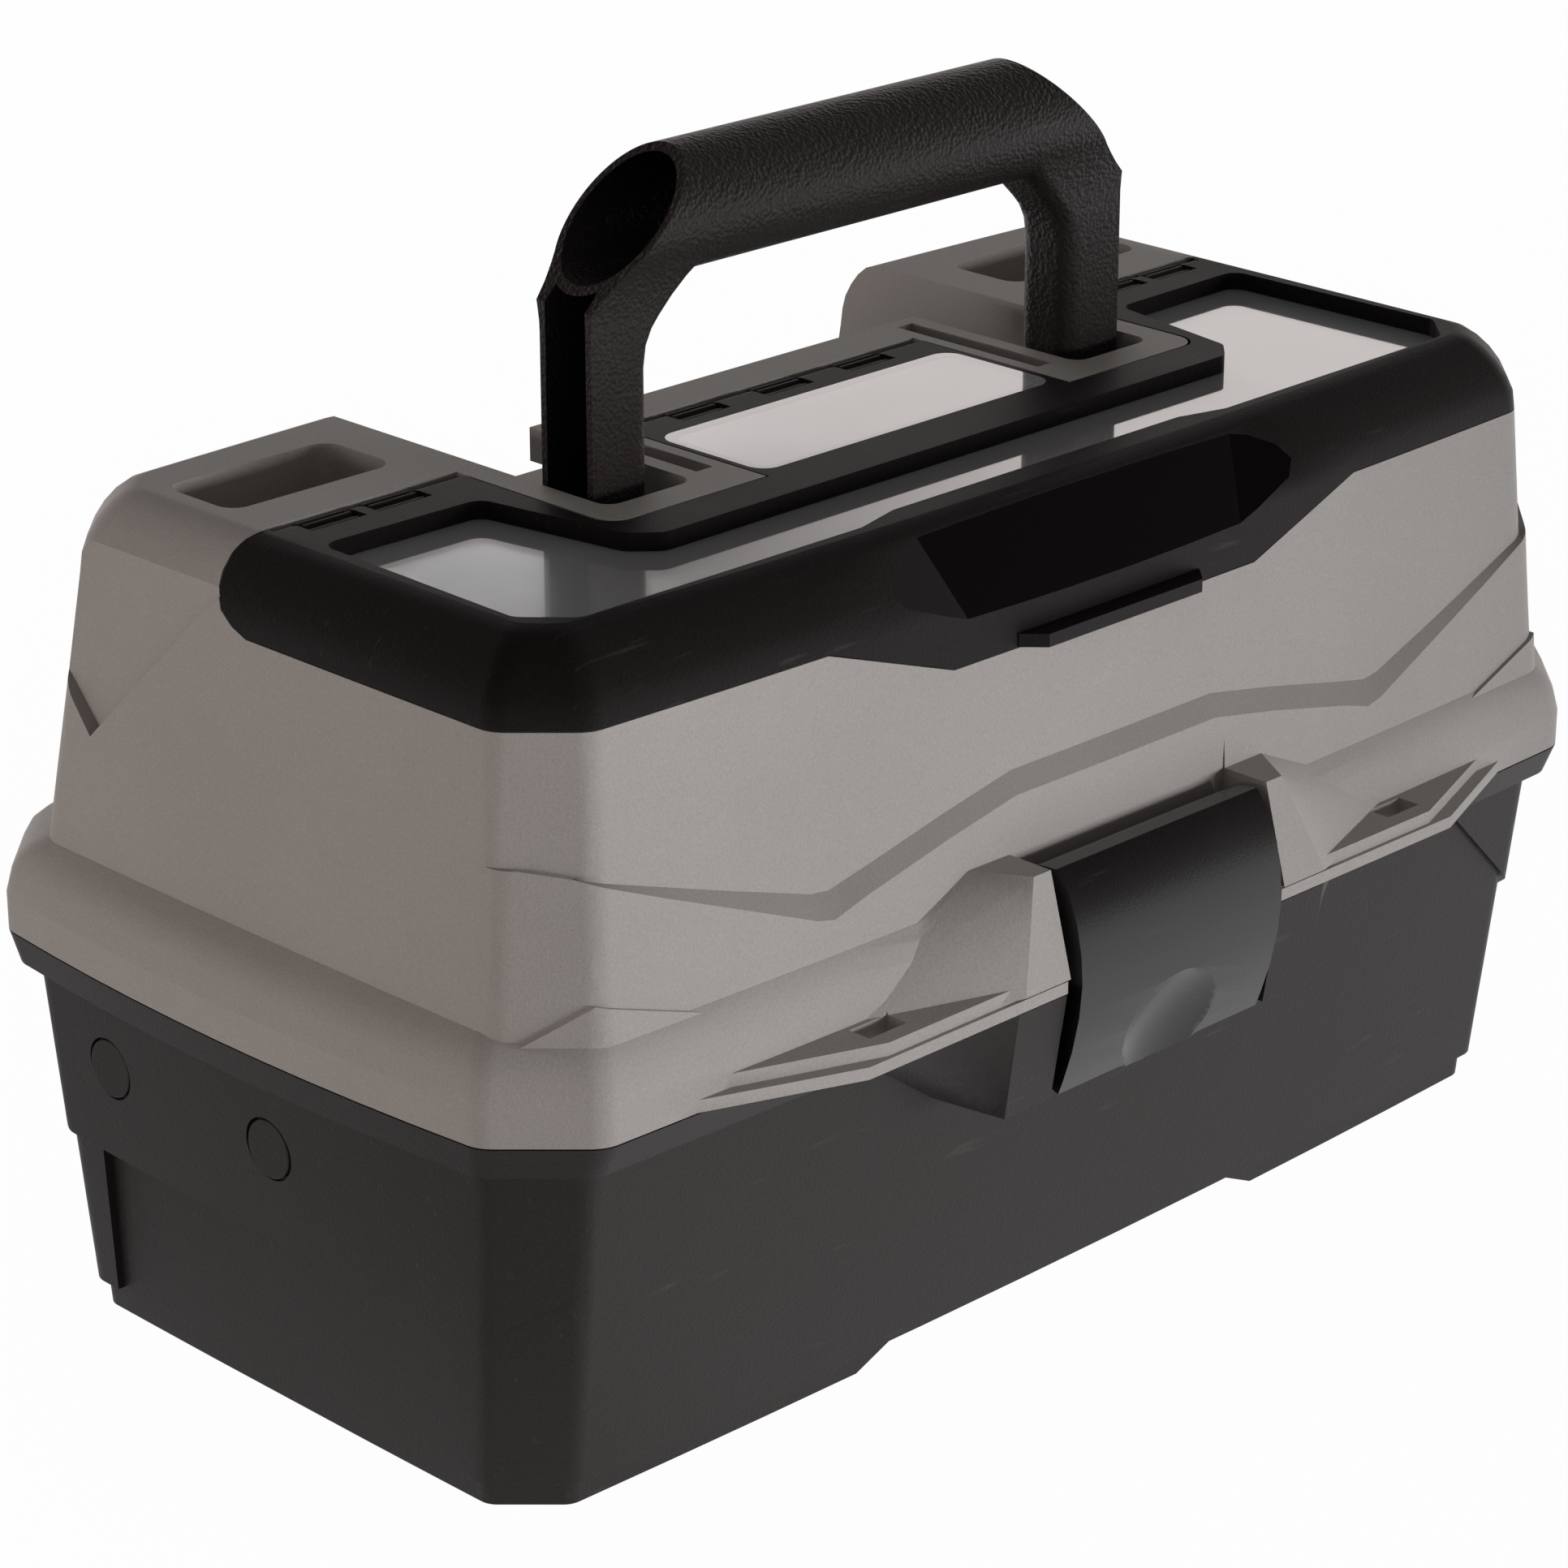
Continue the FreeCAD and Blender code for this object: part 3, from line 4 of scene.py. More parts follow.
import bpy
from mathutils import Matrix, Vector
from mathutils.bvhtree import BVHTree


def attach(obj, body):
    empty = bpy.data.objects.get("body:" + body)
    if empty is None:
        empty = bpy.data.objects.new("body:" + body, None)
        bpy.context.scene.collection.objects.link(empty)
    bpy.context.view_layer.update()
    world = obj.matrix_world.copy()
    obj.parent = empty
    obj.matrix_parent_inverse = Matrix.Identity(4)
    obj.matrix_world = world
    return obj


bl_info = {
    "name": "Art supply box",
    "version": (1, 0, 0),
    "blender": (4, 5, 0),
    "location": "View3D > Sidebar > Art box",
    "description": "Finishes the art supply box and sets its stage",
    "category": "Object",
}

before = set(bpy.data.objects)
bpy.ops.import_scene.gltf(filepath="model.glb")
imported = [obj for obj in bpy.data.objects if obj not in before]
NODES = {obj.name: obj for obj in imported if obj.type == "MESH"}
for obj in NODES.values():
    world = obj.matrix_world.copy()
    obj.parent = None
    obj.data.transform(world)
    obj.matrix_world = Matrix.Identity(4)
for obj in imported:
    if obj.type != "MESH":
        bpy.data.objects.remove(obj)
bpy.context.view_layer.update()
MILLIMETRE = 0.001
WHITE = (1.0, 1.0, 1.0, 1.0)

# Nodes of the frame that share a finish
STEEL_NODES = [
    "lid_hinge_pin_left", "lid_hinge_pin_right", "latch_pin", "link_pin_left", "link_pin_right",
    "door_rod_left", "door_rod_centre", "door_rod_right", "handle_pin_left", "handle_pin_right",
    "front_arm_left", "front_arm_right", "rear_arm_left", "rear_arm_right",
    "front_tray_pin_left", "front_tray_pin_right", "rear_tray_pin_left", "rear_tray_pin_right",
]
RIVET_NODES = ["front_rivet_left", "front_rivet_right", "rear_rivet_left", "rear_rivet_right"]
PANE_NODES = ["front_window", "centre_window"]
CRISP_NODES = ["base_tub", "lid_shell", "door_frame", "latch_plate"]

# Moulded plastic: cloudy tone, fine speckle, pale scuffs and the spread of its roughness
CLOUD = {"Scale": 14.0, "Detail": 4.0, "Roughness": 0.6}
CLOUD_EDGES = (0.3, 0.7)
SPECKLE = {"Scale": 1900.0, "Detail": 1.0}
SPECKLE_SHARE = 0.6
SCUFF_STRETCH = {"Rotation": (0.3, 0.5, 0.7), "Scale": (30.0, 900.0, 300.0)}
SCUFF_EDGES = (0.66, 0.8)
SCUFF_SHARE = 0.05
SCUFF_COLOUR = (0.5, 0.48, 0.46, 1.0)
STROKES = {"Scale": 1.0, "Detail": 3.0}
BUMP_STRENGTH = 0.5
SHINE_SPREAD = 0.06
# The relief slope's grey is painted darker than the lid's: painted shade on a face that turns upward
SLOPE_PAINTED_SHADE = 0.64
DOOR_TONE = 0.5
LATCH_TONE = 0.3

# Clear panes and drawn steel
PANE_SURFACE = {
    "IOR": 1.9, "Transmission Weight": 0.55, "Coat Weight": 1.0, "Coat IOR": 2.4, "Coat Roughness": 0.03,
}
PANE_SMEAR = {"Scale": 28.0, "Detail": 5.0, "Distortion": 1.2}
PANE_ROUGHNESS = (0.04, 0.12)
STEEL_STRETCH = {"Scale": (40.0, 1500.0, 1500.0)}
STEEL_ROUGHNESS = (0.25, 0.45)

# Clean-up and rounding of edges: reach in metres, turns in degrees, and shares of the finish's edge rounding
WELD_REACH = 0.00001
DISSOLVE_TURN = 0.05
ROUND_TURN = 28.0
ROUND_SEGMENTS = 3
FACE_WEIGHT = 80
RIVET_ROUND = 0.5
HANDLE_ROUND = 2.0

# Shading of facets: faces within FLAT_TURN degrees are one face, and broad faces that turn by more than
# CRISP_TURN meet in a line. A face is broad if its area is over BROAD_WIDTH, in metres, times its reach
FLAT_TURN = 0.3
CRISP_TURN = 1.3
BROAD_WIDTH = 0.005

# Slope of the front relief, in millimetres: place along the box, height of its foot and head. It is laid in
# columns, laps over both edges, reaches a little into the wall, and is sharp over RELIEF_SHARP degrees
RELIEF_HALF = [
    (157.0, 149.3, 149.4), (137.0, 140.8, 142.8), (118.6, 133.3, 136.7), (95.0, 123.6, 129.2),
    (90.0, 122.5, 128.7), (80.0, 125.3, 130.8), (54.5, 131.0, 136.4), (33.5, 135.0, 140.4),
]
RELIEF_SLOPE = [(-x, low, high) for x, low, high in RELIEF_HALF] + RELIEF_HALF[::-1]
RELIEF_STEP = 4.0
RELIEF_LAP = 0.05
RELIEF_BACK = 0.8
RELIEF_SHARP = 20.0
FRONT_CLEAR = -200.0

# Polished finger recess of the top door: normal of each plane and its distance from the origin in metres, half
# the width of the recess, and how near to a plane a face lies, with the cosine of how far it may turn
RECESS_PLANES = [
    ((0.0, -0.87991, 0.47515), 0.16380), ((-0.13705, -0.85065, 0.50755), 0.16074),
    ((0.13705, -0.85065, 0.50755), 0.16074),
]
RECESS_HALF = 0.072
PLANE_REACH = 0.0003
PLANE_TURN = 0.997
# Colour of the recess: painted shade and painted dark reflection; its lower roughness is the real polish
RECESS_PAINTED_SHADE_BLACK = (0.003, 0.0024, 0.0024, 1.0)
POLISHED_ROUGHNESS = 0.2

# Covers on the knuckles of the top door's hinge, in millimetres: places along the hinge, its axis, the inner
# and outer radius of a cover, and for each rib its place across, top and half width
KNUCKLES = [-137.0, -118.4, -27.3, 0.0, 27.3, 118.4, 137.0]
KNUCKLE_AXIS = (13.5, 194.4)
KNUCKLE_RADIUS = 2.72
KNUCKLE_COVER = 2.9
RIBS = [(10.7, 197.5, 0.95), (13.3, 197.9, 0.6), (15.8, 197.6, 0.85)]
RIB_HALF = 6.7
RIB_STEPS = 8
RIB_SHARP = 40.0

# Lamps: place, width and height in metres, and colour. The ends of the card are given in plan
LAMP_TARGET = (0.0, 0.0, 0.12)
LAMPS = {
    "key": ((2.0, -3.5, 0.36), (2.6, 0.7), (1.0, 1.0, 1.0)),
    "side": ((-1.95, 0.3, 0.2), (1.0, 0.36), (1.0, 0.9, 0.84)),
    "rear": ((1.5, 2.8, 0.9), (1.6, 0.8), (1.0, 1.0, 1.0)),
}
CARD_ENDS = [(0.47, -0.6), (1.6, -0.2)]
CARD_HEIGHT = 0.8
CARD_COLOUR = (0.01, 0.01, 0.01, 1.0)

# Floor and room: the mirrored floor is dimmer left of FLOOR_SHADE, and the mirrored white wall, which lies in
# the direction BEHIND, ends at BACKDROP_TOP
FLOOR_HALF = 9.0
FLOOR_SURFACE = {"Base Color": (0.8, 0.8, 0.8, 1.0), "Roughness": 0.9, "Specular IOR Level": 0.1}
FLOOR_WHITE = 0.98
FLOOR_SHADE = (-0.25, -0.1)
FLOOR_DIM = 0.5
ROOM_TONE = (1.0, 0.93, 0.91, 1.0)
BEHIND = (0.6, 0.6, -0.3)
BEHIND_EDGES = (0.0, 0.45)
BACKDROP_TOP = (0.306, 0.331)
OVERHEAD_EDGES = (0.0, 0.6)

# Camera
SENSOR_WIDTH = 36.0
CLIP_START = 0.01


class ArtBoxFinish(bpy.types.PropertyGroup):
    """Colours of the pieces and the rounding of their edges."""

    grey: bpy.props.FloatVectorProperty(
        name="Grey plastic", description="Colour of the lid", subtype="COLOR", size=3,
        default=(0.325, 0.307, 0.294))
    black: bpy.props.FloatVectorProperty(
        name="Black plastic", description="Colour of base, door, handle and latch", subtype="COLOR", size=3,
        default=(0.0175, 0.0142, 0.0142))
    tray: bpy.props.FloatVectorProperty(
        name="Tray plastic", description="Colour of the lift-up tray", subtype="COLOR", size=3,
        default=(0.24, 0.235, 0.228))
    steel: bpy.props.FloatVectorProperty(
        name="Steel", description="Colour of pins and arms", subtype="COLOR", size=3,
        default=(0.52, 0.52, 0.53))
    pane: bpy.props.FloatVectorProperty(
        name="Pane", description="Tint of the clear windows", subtype="COLOR", size=3,
        default=(0.86, 0.88, 0.9))
    edge_round: bpy.props.FloatProperty(
        name="Edge rounding", description="Radius of moulded edges", unit="LENGTH", default=0.0007)


class ArtBoxStage(bpy.types.PropertyGroup):
    """Camera, lamps and room."""

    azimuth: bpy.props.FloatProperty(
        name="Azimuth", description="Camera angle round the box, from its front", subtype="ANGLE",
        default=math.radians(-44.96))
    elevation: bpy.props.FloatProperty(
        name="Elevation", description="Camera angle above the floor", subtype="ANGLE",
        default=math.radians(21.83))
    distance: bpy.props.FloatProperty(
        name="Distance", description="From the camera to the point it looks at", unit="LENGTH", default=1.1)
    target: bpy.props.FloatVectorProperty(
        name="Target", description="Point the camera looks at", subtype="XYZ", size=3,
        default=(-0.0512, -0.0400, 0.1272))
    lens: bpy.props.FloatProperty(name="Lens", description="Focal length in millimetres", default=112.41)
    key_power: bpy.props.FloatProperty(
        name="Key lamp", description="Power of the large lamp at the right", default=166.0)
    side_power: bpy.props.FloatProperty(
        name="Side lamp", description="Power of the lamp at the left", default=13.2)
    rear_power: bpy.props.FloatProperty(
        name="Rear lamp", description="Power of the lamp behind the box", default=50.0)
    room: bpy.props.FloatProperty(
        name="Room light", description="Strength of the light from the sides", default=0.15)
    overhead: bpy.props.FloatProperty(
        name="Overhead", description="Light from above, as a share of the light from the sides", default=1.3)
    dim: bpy.props.FloatProperty(
        name="Dim side", description="Brightness of the front of the room in mirrored rays", default=0.1)
    above: bpy.props.FloatProperty(
        name="Above the wall", description="Share of the white wall's brightness above it", default=0.2)


# Materials
class Graph:
    """Short ways to add nodes to a material or a world. A value is a socket or a constant."""

    def __init__(self, owner):
        self.owner = owner
        self.nodes = owner.node_tree.nodes
        self.link = owner.node_tree.links.new

    def add(self, kind, inputs=None, **settings):
        node = self.nodes.new(kind)
        for key, value in settings.items():
            setattr(node, key, value)
        for key, value in (inputs or {}).items():
            self.feed(node.inputs[key], value)
        return node

    def feed(self, socket, value):
        if isinstance(value, bpy.types.NodeSocket):
            self.link(value, socket)
        else:
            socket.default_value = value

    def calc(self, operation, *values):
        return self.add("ShaderNodeMath", dict(enumerate(values)), operation=operation).outputs["Value"]

    def along(self, vector, direction):
        """How far a vector reaches along a direction."""
        inputs = {0: vector, 1: direction}
        return self.add("ShaderNodeVectorMath", inputs, operation="DOT_PRODUCT").outputs["Value"]

    def part(self, vector, axis):
        return self.add("ShaderNodeSeparateXYZ", {"Vector": vector}).outputs[axis]

    def noise(self, vector, inputs):
        return self.add("ShaderNodeTexNoise", {"Vector": vector, **inputs}).outputs["Fac"]

    def ramp(self, value, edges, levels):
        """Lead from one level to another while a value goes from one edge to the other."""
        (start, end), (low, high) = edges, levels
        inputs = {"Value": value, "From Min": start, "From Max": end, "To Min": low, "To Max": high}
        return self.add("ShaderNodeMapRange", inputs).outputs["Result"]

    def mix(self, factor, one, other, kind="FLOAT"):
        inputs = {"Factor": factor, "A": one, "B": other}
        return self.add("ShaderNodeMix", inputs, data_type=kind).outputs["Result"]


def new_material(name):
    """A new material as a graph, and the inputs of its shader."""
    material = bpy.data.materials.new(name)
    material.use_nodes = True
    graph = Graph(material)
    return graph, graph.nodes["Principled BSDF"].inputs


def scaled(colour, share):
    return tuple(channel * share for channel in colour)


def on_planes(graph, spot, facing, planes):
    """One on the faces of the recess that lie in one of the planes, nothing elsewhere."""
    total = None
    for normal, distance in planes:
        near = graph.calc("COMPARE", graph.along(spot, normal), distance, PLANE_REACH)
        flat = graph.calc("GREATER_THAN", graph.along(facing, normal), PLANE_TURN)
        both = graph.calc("MULTIPLY", near, flat)
        total = both if total is None else graph.calc("MAXIMUM", total, both)
    middle = graph.calc("COMPARE", graph.part(spot, "X"), 0.0, RECESS_HALF)
    return graph.calc("MULTIPLY", total, middle)


def polish_and_paint_shade(material, planes):
    """Smooth plastic without grain on the faces that lie in the planes; its near-black colour there is painted
    shade and painted dark reflection.
    """
    graph = Graph(material)
    surface = graph.nodes["Principled BSDF"].inputs
    spot = graph.add("ShaderNodeTexCoord").outputs["Object"]
    normal = graph.add("ShaderNodeNewGeometry").outputs["True Normal"]
    turned = graph.add(
        "ShaderNodeVectorTransform", {"Vector": normal},
        vector_type="NORMAL", convert_from="WORLD", convert_to="OBJECT")
    mask = on_planes(graph, spot, turned.outputs["Vector"], planes)
    # The colour set here is painted shade and painted dark reflection; roughness and normal are the real
    # smooth polish
    polished = (
        ("Base Color", "RGBA", RECESS_PAINTED_SHADE_BLACK), ("Roughness", "FLOAT", POLISHED_ROUGHNESS),
        ("Normal", "VECTOR", normal),
    )
    for name, kind, value in polished:
        grained = surface[name].links[0].from_socket
        graph.link(graph.mix(mask, grained, value, kind), surface[name])


def moulded_plastic(name, colour, roughness, grain, depth, leather=False, variation=0.3, specular=0.3):
    """Textured moulded plastic: a fine grain in the surface, cloudy colour and a few pale scuffs."""
    graph, surface = new_material(name)
    spot = graph.add("ShaderNodeTexCoord").outputs["Object"]
    cloud = graph.noise(spot, CLOUD)
    speckled = graph.mix(SPECKLE_SHARE, cloud, graph.noise(spot, SPECKLE))
    tone = graph.add("ShaderNodeValToRGB", {"Fac": speckled})
    low, high = tone.color_ramp.elements
    low.position, high.position = CLOUD_EDGES
    low.color = scaled(colour, 1 - variation) + (1.0,)
    high.color = scaled(colour, 1 + variation) + (1.0,)
    stretch = graph.add("ShaderNodeMapping", {"Vector": spot, **SCUFF_STRETCH})
    strokes = graph.noise(stretch.outputs["Vector"], STROKES)
    scuff = graph.ramp(strokes, SCUFF_EDGES, (0.0, SCUFF_SHARE))
    if leather:
        pattern = graph.add(
            "ShaderNodeTexVoronoi", {"Vector": spot, "Scale": grain, "Randomness": 1.0}, feature="SMOOTH_F1")
        height = pattern.outputs["Distance"]
    else:
        height = graph.noise(spot, {"Scale": grain, "Detail": 2.0, "Roughness": 0.5})
    bump = graph.add("ShaderNodeBump", {"Strength": BUMP_STRENGTH, "Distance": depth, "Height": height})
    shine = graph.ramp(cloud, (0.0, 1.0), (roughness - SHINE_SPREAD, roughness + SHINE_SPREAD))
    surface["Specular IOR Level"].default_value = specular
    graph.link(graph.mix(scuff, tone.outputs["Color"], SCUFF_COLOUR, "RGBA"), surface["Base Color"])
    graph.link(bump.outputs["Normal"], surface["Normal"])
    graph.link(shine, surface["Roughness"])
    return graph.owner


def clear_plastic(name, tint):
    """A polished clear pane with faint smears, strongly mirroring at a low angle."""
    graph, surface = new_material(name)
    for key, value in PANE_SURFACE.items():
        surface[key].default_value = value
    surface["Base Color"].default_value = tuple(tint) + (1.0,)
    smear = graph.noise(graph.add("ShaderNodeTexCoord").outputs["Object"], PANE_SMEAR)
    graph.link(graph.ramp(smear, (0.0, 1.0), PANE_ROUGHNESS), surface["Roughness"])
    return graph.owner


def plain_steel(name, colour):
    """Drawn steel of pins and arms with fine lines along X."""
    graph, surface = new_material(name)
    surface["Base Color"].default_value = tuple(colour) + (1.0,)
    surface["Metallic"].default_value = 1.0
    spot = graph.add("ShaderNodeTexCoord").outputs["Object"]
    stretch = graph.add("ShaderNodeMapping", {"Vector": spot, **STEEL_STRETCH})
    lines = graph.noise(stretch.outputs["Vector"], STROKES)
    graph.link(graph.ramp(lines, (0.0, 1.0), STEEL_ROUGHNESS), surface["Roughness"])
    return graph.owner


# Shaping of the carried-over solids
def paint(node, material):
    mesh = NODES[node].data
    mesh.materials.clear()
    mesh.materials.append(material)


def round_edges(node, radius):
    """Clean up a solid's triangles and round its edges as a mould does."""
    thing = NODES[node]
    weld = thing.modifiers.new("Weld", "WELD")
    weld.merge_threshold = WELD_REACH
    flat = thing.modifiers.new("Flat faces", "DECIMATE")
    flat.decimate_type = "DISSOLVE"
    flat.angle_limit = math.radians(DISSOLVE_TURN)
    bevel = thing.modifiers.new("Moulded edges", "BEVEL")
    bevel.limit_method = "ANGLE"
    bevel.angle_limit = math.radians(ROUND_TURN)
    bevel.width = radius
    bevel.segments = ROUND_SEGMENTS
    bevel.miter_outer = "MITER_ARC"
    shade = thing.modifiers.new("Flat shading of large faces", "WEIGHTED_NORMAL")
    shade.mode = "FACE_AREA"
    shade.weight = FACE_WEIGHT
    shade.keep_sharp = True
    thing.data.shade_smooth()
    if node in CRISP_NODES:
        crisp_facets(node)


def crisp_facets(node):
    """Mark the edges between broad flat faces, so that shallow facets meet in a clear line."""
    mesh = NODES[node].data
    spots = [tuple(round(value / WELD_REACH) for value in vertex.co) for vertex in mesh.vertices]
    borders = {}
    for face in mesh.polygons:
        for corner in face.loop_indices:
            edge = mesh.loops[corner].edge_index
            ends = frozenset(spots[vertex] for vertex in mesh.edges[edge].vertices)
            borders.setdefault(ends, []).append((face.index, edge))
    leader = list(range(len(mesh.polygons)))

    def first(face):
        while leader[face] != face:
            leader[face] = leader[leader[face]]
            face = leader[face]
        return face

    def turn(one, other):
        cosine = mesh.polygons[one].normal.dot(mesh.polygons[other].normal)
        return math.degrees(math.acos(max(-1.0, min(1.0, cosine))))

    pairs = [sides for sides in borders.values() if len(sides) == 2]
    for (one, _), (other, _) in pairs:
        if turn(one, other) < FLAT_TURN:
            leader[first(one)] = first(other)
    area, points = {}, {}
    for face in mesh.polygons:
        group = first(face.index)
        area[group] = area.get(group, 0.0) + face.area
        points.setdefault(group, []).extend(mesh.vertices[vertex].co for vertex in face.vertices)
    broad = set()
    for group, places in points.items():
        spread = Vector([max(axis) - min(axis) for axis in zip(*places)])
        if area[group] > BROAD_WIDTH * spread.length:
            broad.add(group)
    for (one, edge), (other, twin) in pairs:
        if {first(one), first(other)} <= broad and turn(one, other) > CRISP_TURN:
            mesh.edges[edge].use_edge_sharp = True
            mesh.edges[twin].use_edge_sharp = True


def make_piece(name, vertices, faces, material, body):
    mesh = bpy.data.meshes.new(name)
    mesh.from_pydata(vertices, [], faces)
    mesh.update()
    piece = bpy.data.objects.new(name, mesh)
    bpy.context.scene.collection.objects.link(piece)
    mesh.materials.append(material)
    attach(piece, body)
    return piece


def finish(context):
    return context.scene.art_box_finish


class ARTBOX_OT_base(bpy.types.Operator):
    """Finish the base tub and the heads of its rivets"""

    bl_idname = "artbox.base"
    bl_label = "Base tub"

    def execute(self, context):
        settings = finish(context)
        plastic = moulded_plastic("base_black", settings.black, roughness=0.5, grain=1300.0, depth=0.0002)
        paint("base_tub", plastic)
        round_edges("base_tub", settings.edge_round)
        for node in RIVET_NODES:
            paint(node, plastic)
            round_edges(node, settings.edge_round * RIVET_ROUND)
        return {"FINISHED"}


class ARTBOX_OT_lid(bpy.types.Operator):
    """Finish the grey lid and the slope of its front relief, whose grey is painted darker as shade"""

    bl_idname = "artbox.lid"
    bl_label = "Lid"

    def execute(self, context):
        settings = finish(context)
        surface = {"roughness": 0.52, "grain": 1500.0, "depth": 0.00016, "variation": 0.1}
        paint("lid_shell", moulded_plastic("lid_grey", settings.grey, **surface))
        round_edges("lid_shell", settings.edge_round)
        # The slope's grey is painted darker than the lid's, as painted shade on its upward face
        self.relief_slope(moulded_plastic("slope_grey", scaled(settings.grey, SLOPE_PAINTED_SHADE), **surface))
        return {"FINISHED"}

    def relief_slope(self, plastic):
        """The slope that leads from the wall of the lid down to the raised lower part of its front. Its darker
        grey is painted shade.
        """
        shell = NODES["lid_shell"].data
        skin = BVHTree.FromPolygons(
            [vertex.co for vertex in shell.vertices], [face.vertices for face in shell.polygons])

        def on_front(x, z):
            return skin.ray_cast(Vector((x, FRONT_CLEAR * MILLIMETRE, z)), Vector((0, 1, 0)))[0]

        columns = []
        for (x, low, high), (next_x, next_low, next_high) in zip(RELIEF_SLOPE, RELIEF_SLOPE[1:]):
            count = max(1, round(abs(next_x - x) / RELIEF_STEP))
            for step in range(count):
                share = step / count
                columns.append((
                    x + (next_x - x) * share,
                    low + (next_low - low) * share,
                    high + (next_high - high) * share,
                ))
        columns.append(RELIEF_SLOPE[-1])
        vertices, faces = [], []
        for x, low, high in columns:
            foot = on_front(x * MILLIMETRE, (low - RELIEF_LAP) * MILLIMETRE)
            head = on_front(x * MILLIMETRE, (high + RELIEF_LAP) * MILLIMETRE)
            back = Vector((head.x, head.y + RELIEF_BACK * MILLIMETRE, (foot.z + head.z) / 2))
            vertices += [foot, head, back]
        for column in range(len(columns) - 1):
            here, there = 3 * column, 3 * column + 3
            for first, second in ((0, 1), (1, 2), (2, 0)):
                faces.append((here + first, there + first, there + second, here + second))
        last = 3 * len(columns) - 3
        faces += [(0, 1, 2), (last + 2, last + 1, last)]
        slope = make_piece("relief_slope", vertices, faces, plastic, "lid")
        slope.data.shade_smooth()
        slope.data.set_sharp_from_angle(angle=math.radians(RELIEF_SHARP))


class ARTBOX_OT_door(bpy.types.Operator):
    """Finish the top door, its clear panes and the knuckles of its hinge"""

    bl_idname = "artbox.door"
    bl_label = "Top door"

    def execute(self, context):
        settings = finish(context)
        plastic = moulded_plastic(
            "door_black", scaled(settings.black, DOOR_TONE), roughness=0.5, grain=1500.0, depth=0.00018,
            specular=0.22)
        # The finger recess gets a real smooth polish and a near-black colour painted as shade and dark
        # reflection
        polish_and_paint_shade(plastic, RECESS_PLANES)
        paint("door_frame", plastic)
        round_edges("door_frame", settings.edge_round)
        pane = clear_plastic("window_clear", settings.pane)
        for node in PANE_NODES:
            paint(node, pane)
        plastic = moulded_plastic("rib_black", settings.black, roughness=0.35, grain=1500.0, depth=0.00005)
        for number, middle in enumerate(KNUCKLES, start=1):
            self.hinge_ribs("hinge_ribs_%d" % number, middle, plastic)
        return {"FINISHED"}

    def hinge_ribs(self, name, middle, plastic):
        """A black piece with three rounded ribs laid over one knuckle of the lid, seen in a notch of the door;
        it hides the knuckle's grey there.
        """
        axis, level = KNUCKLE_AXIS

        def cover(across):
            return level + math.sqrt(max(0.0, KNUCKLE_COVER ** 2 - (across - axis) ** 2))

        outline = []
        for across, top, radius in RIBS:
            outline.append((across - radius, cover(across - radius)))
            for step in range(RIB_STEPS + 1):
                angle = math.pi * (1 - step / RIB_STEPS)
                outline.append((across + radius * math.cos(angle), top - radius + radius * math.sin(angle)))
            outline.append((across + radius, cover(across + radius)))
        for step in range(RIB_STEPS + 1):
            angle = math.pi * step / RIB_STEPS
            outline.append((
                axis + KNUCKLE_RADIUS * math.cos(angle), level + KNUCKLE_RADIUS * math.sin(angle)))
        count = len(outline)
        vertices = []
        for x in (middle - RIB_HALF, middle + RIB_HALF):
            vertices += [Vector((x, across, height)) * MILLIMETRE for across, height in outline]
        faces = [tuple(range(count)), tuple(range(2 * count - 1, count - 1, -1))]
        for index in range(count):
            follow = (index + 1) % count
            faces.append((follow, index, count + index, count + follow))
        ribs = make_piece(name, vertices, faces, plastic, "lid")
        ribs.data.shade_smooth()
        ribs.data.set_sharp_from_angle(angle=math.radians(RIB_SHARP))


class ARTBOX_OT_handle(bpy.types.Operator):
    """Finish the carry handle"""

    bl_idname = "artbox.handle"
    bl_label = "Carry handle"

    def execute(self, context):
        settings = finish(context)
        plastic = moulded_plastic(
            "handle_black", settings.black, roughness=0.42, grain=1100.0, depth=0.0007, leather=True)
        paint("carry_handle", plastic)
        round_edges("carry_handle", settings.edge_round * HANDLE_ROUND)
        return {"FINISHED"}


class ARTBOX_OT_latch(bpy.types.Operator):
    """Finish the latch plate"""

    bl_idname = "artbox.latch"
    bl_label = "Latch"

    def execute(self, context):
        settings = finish(context)
        plastic = moulded_plastic(
            "latch_black", scaled(settings.black, LATCH_TONE), roughness=0.3, grain=1700.0, depth=0.00008,
            specular=0.6)
        paint("latch_plate", plastic)
        round_edges("latch_plate", settings.edge_round)
        return {"FINISHED"}


class ARTBOX_OT_inside(bpy.types.Operator):
    """Finish the tray, lift arms, pins and rods"""

    bl_idname = "artbox.inside"
    bl_label = "Tray and pins"

    def execute(self, context):
        settings = finish(context)
        plastic = moulded_plastic("tray_grey", settings.tray, roughness=0.48, grain=1500.0, depth=0.00012)
        paint("tray", plastic)
        round_edges("tray", settings.edge_round)
        steel = plain_steel("pin_steel", settings.steel)
        for node in STEEL_NODES:
            paint(node, steel)
            NODES[node].data.shade_smooth()
        return {"FINISHED"}


# Stage
def aim(thing, point):
    direction = Vector(point) - thing.location
    thing.rotation_euler = direction.to_track_quat("-Z", "Y").to_euler()


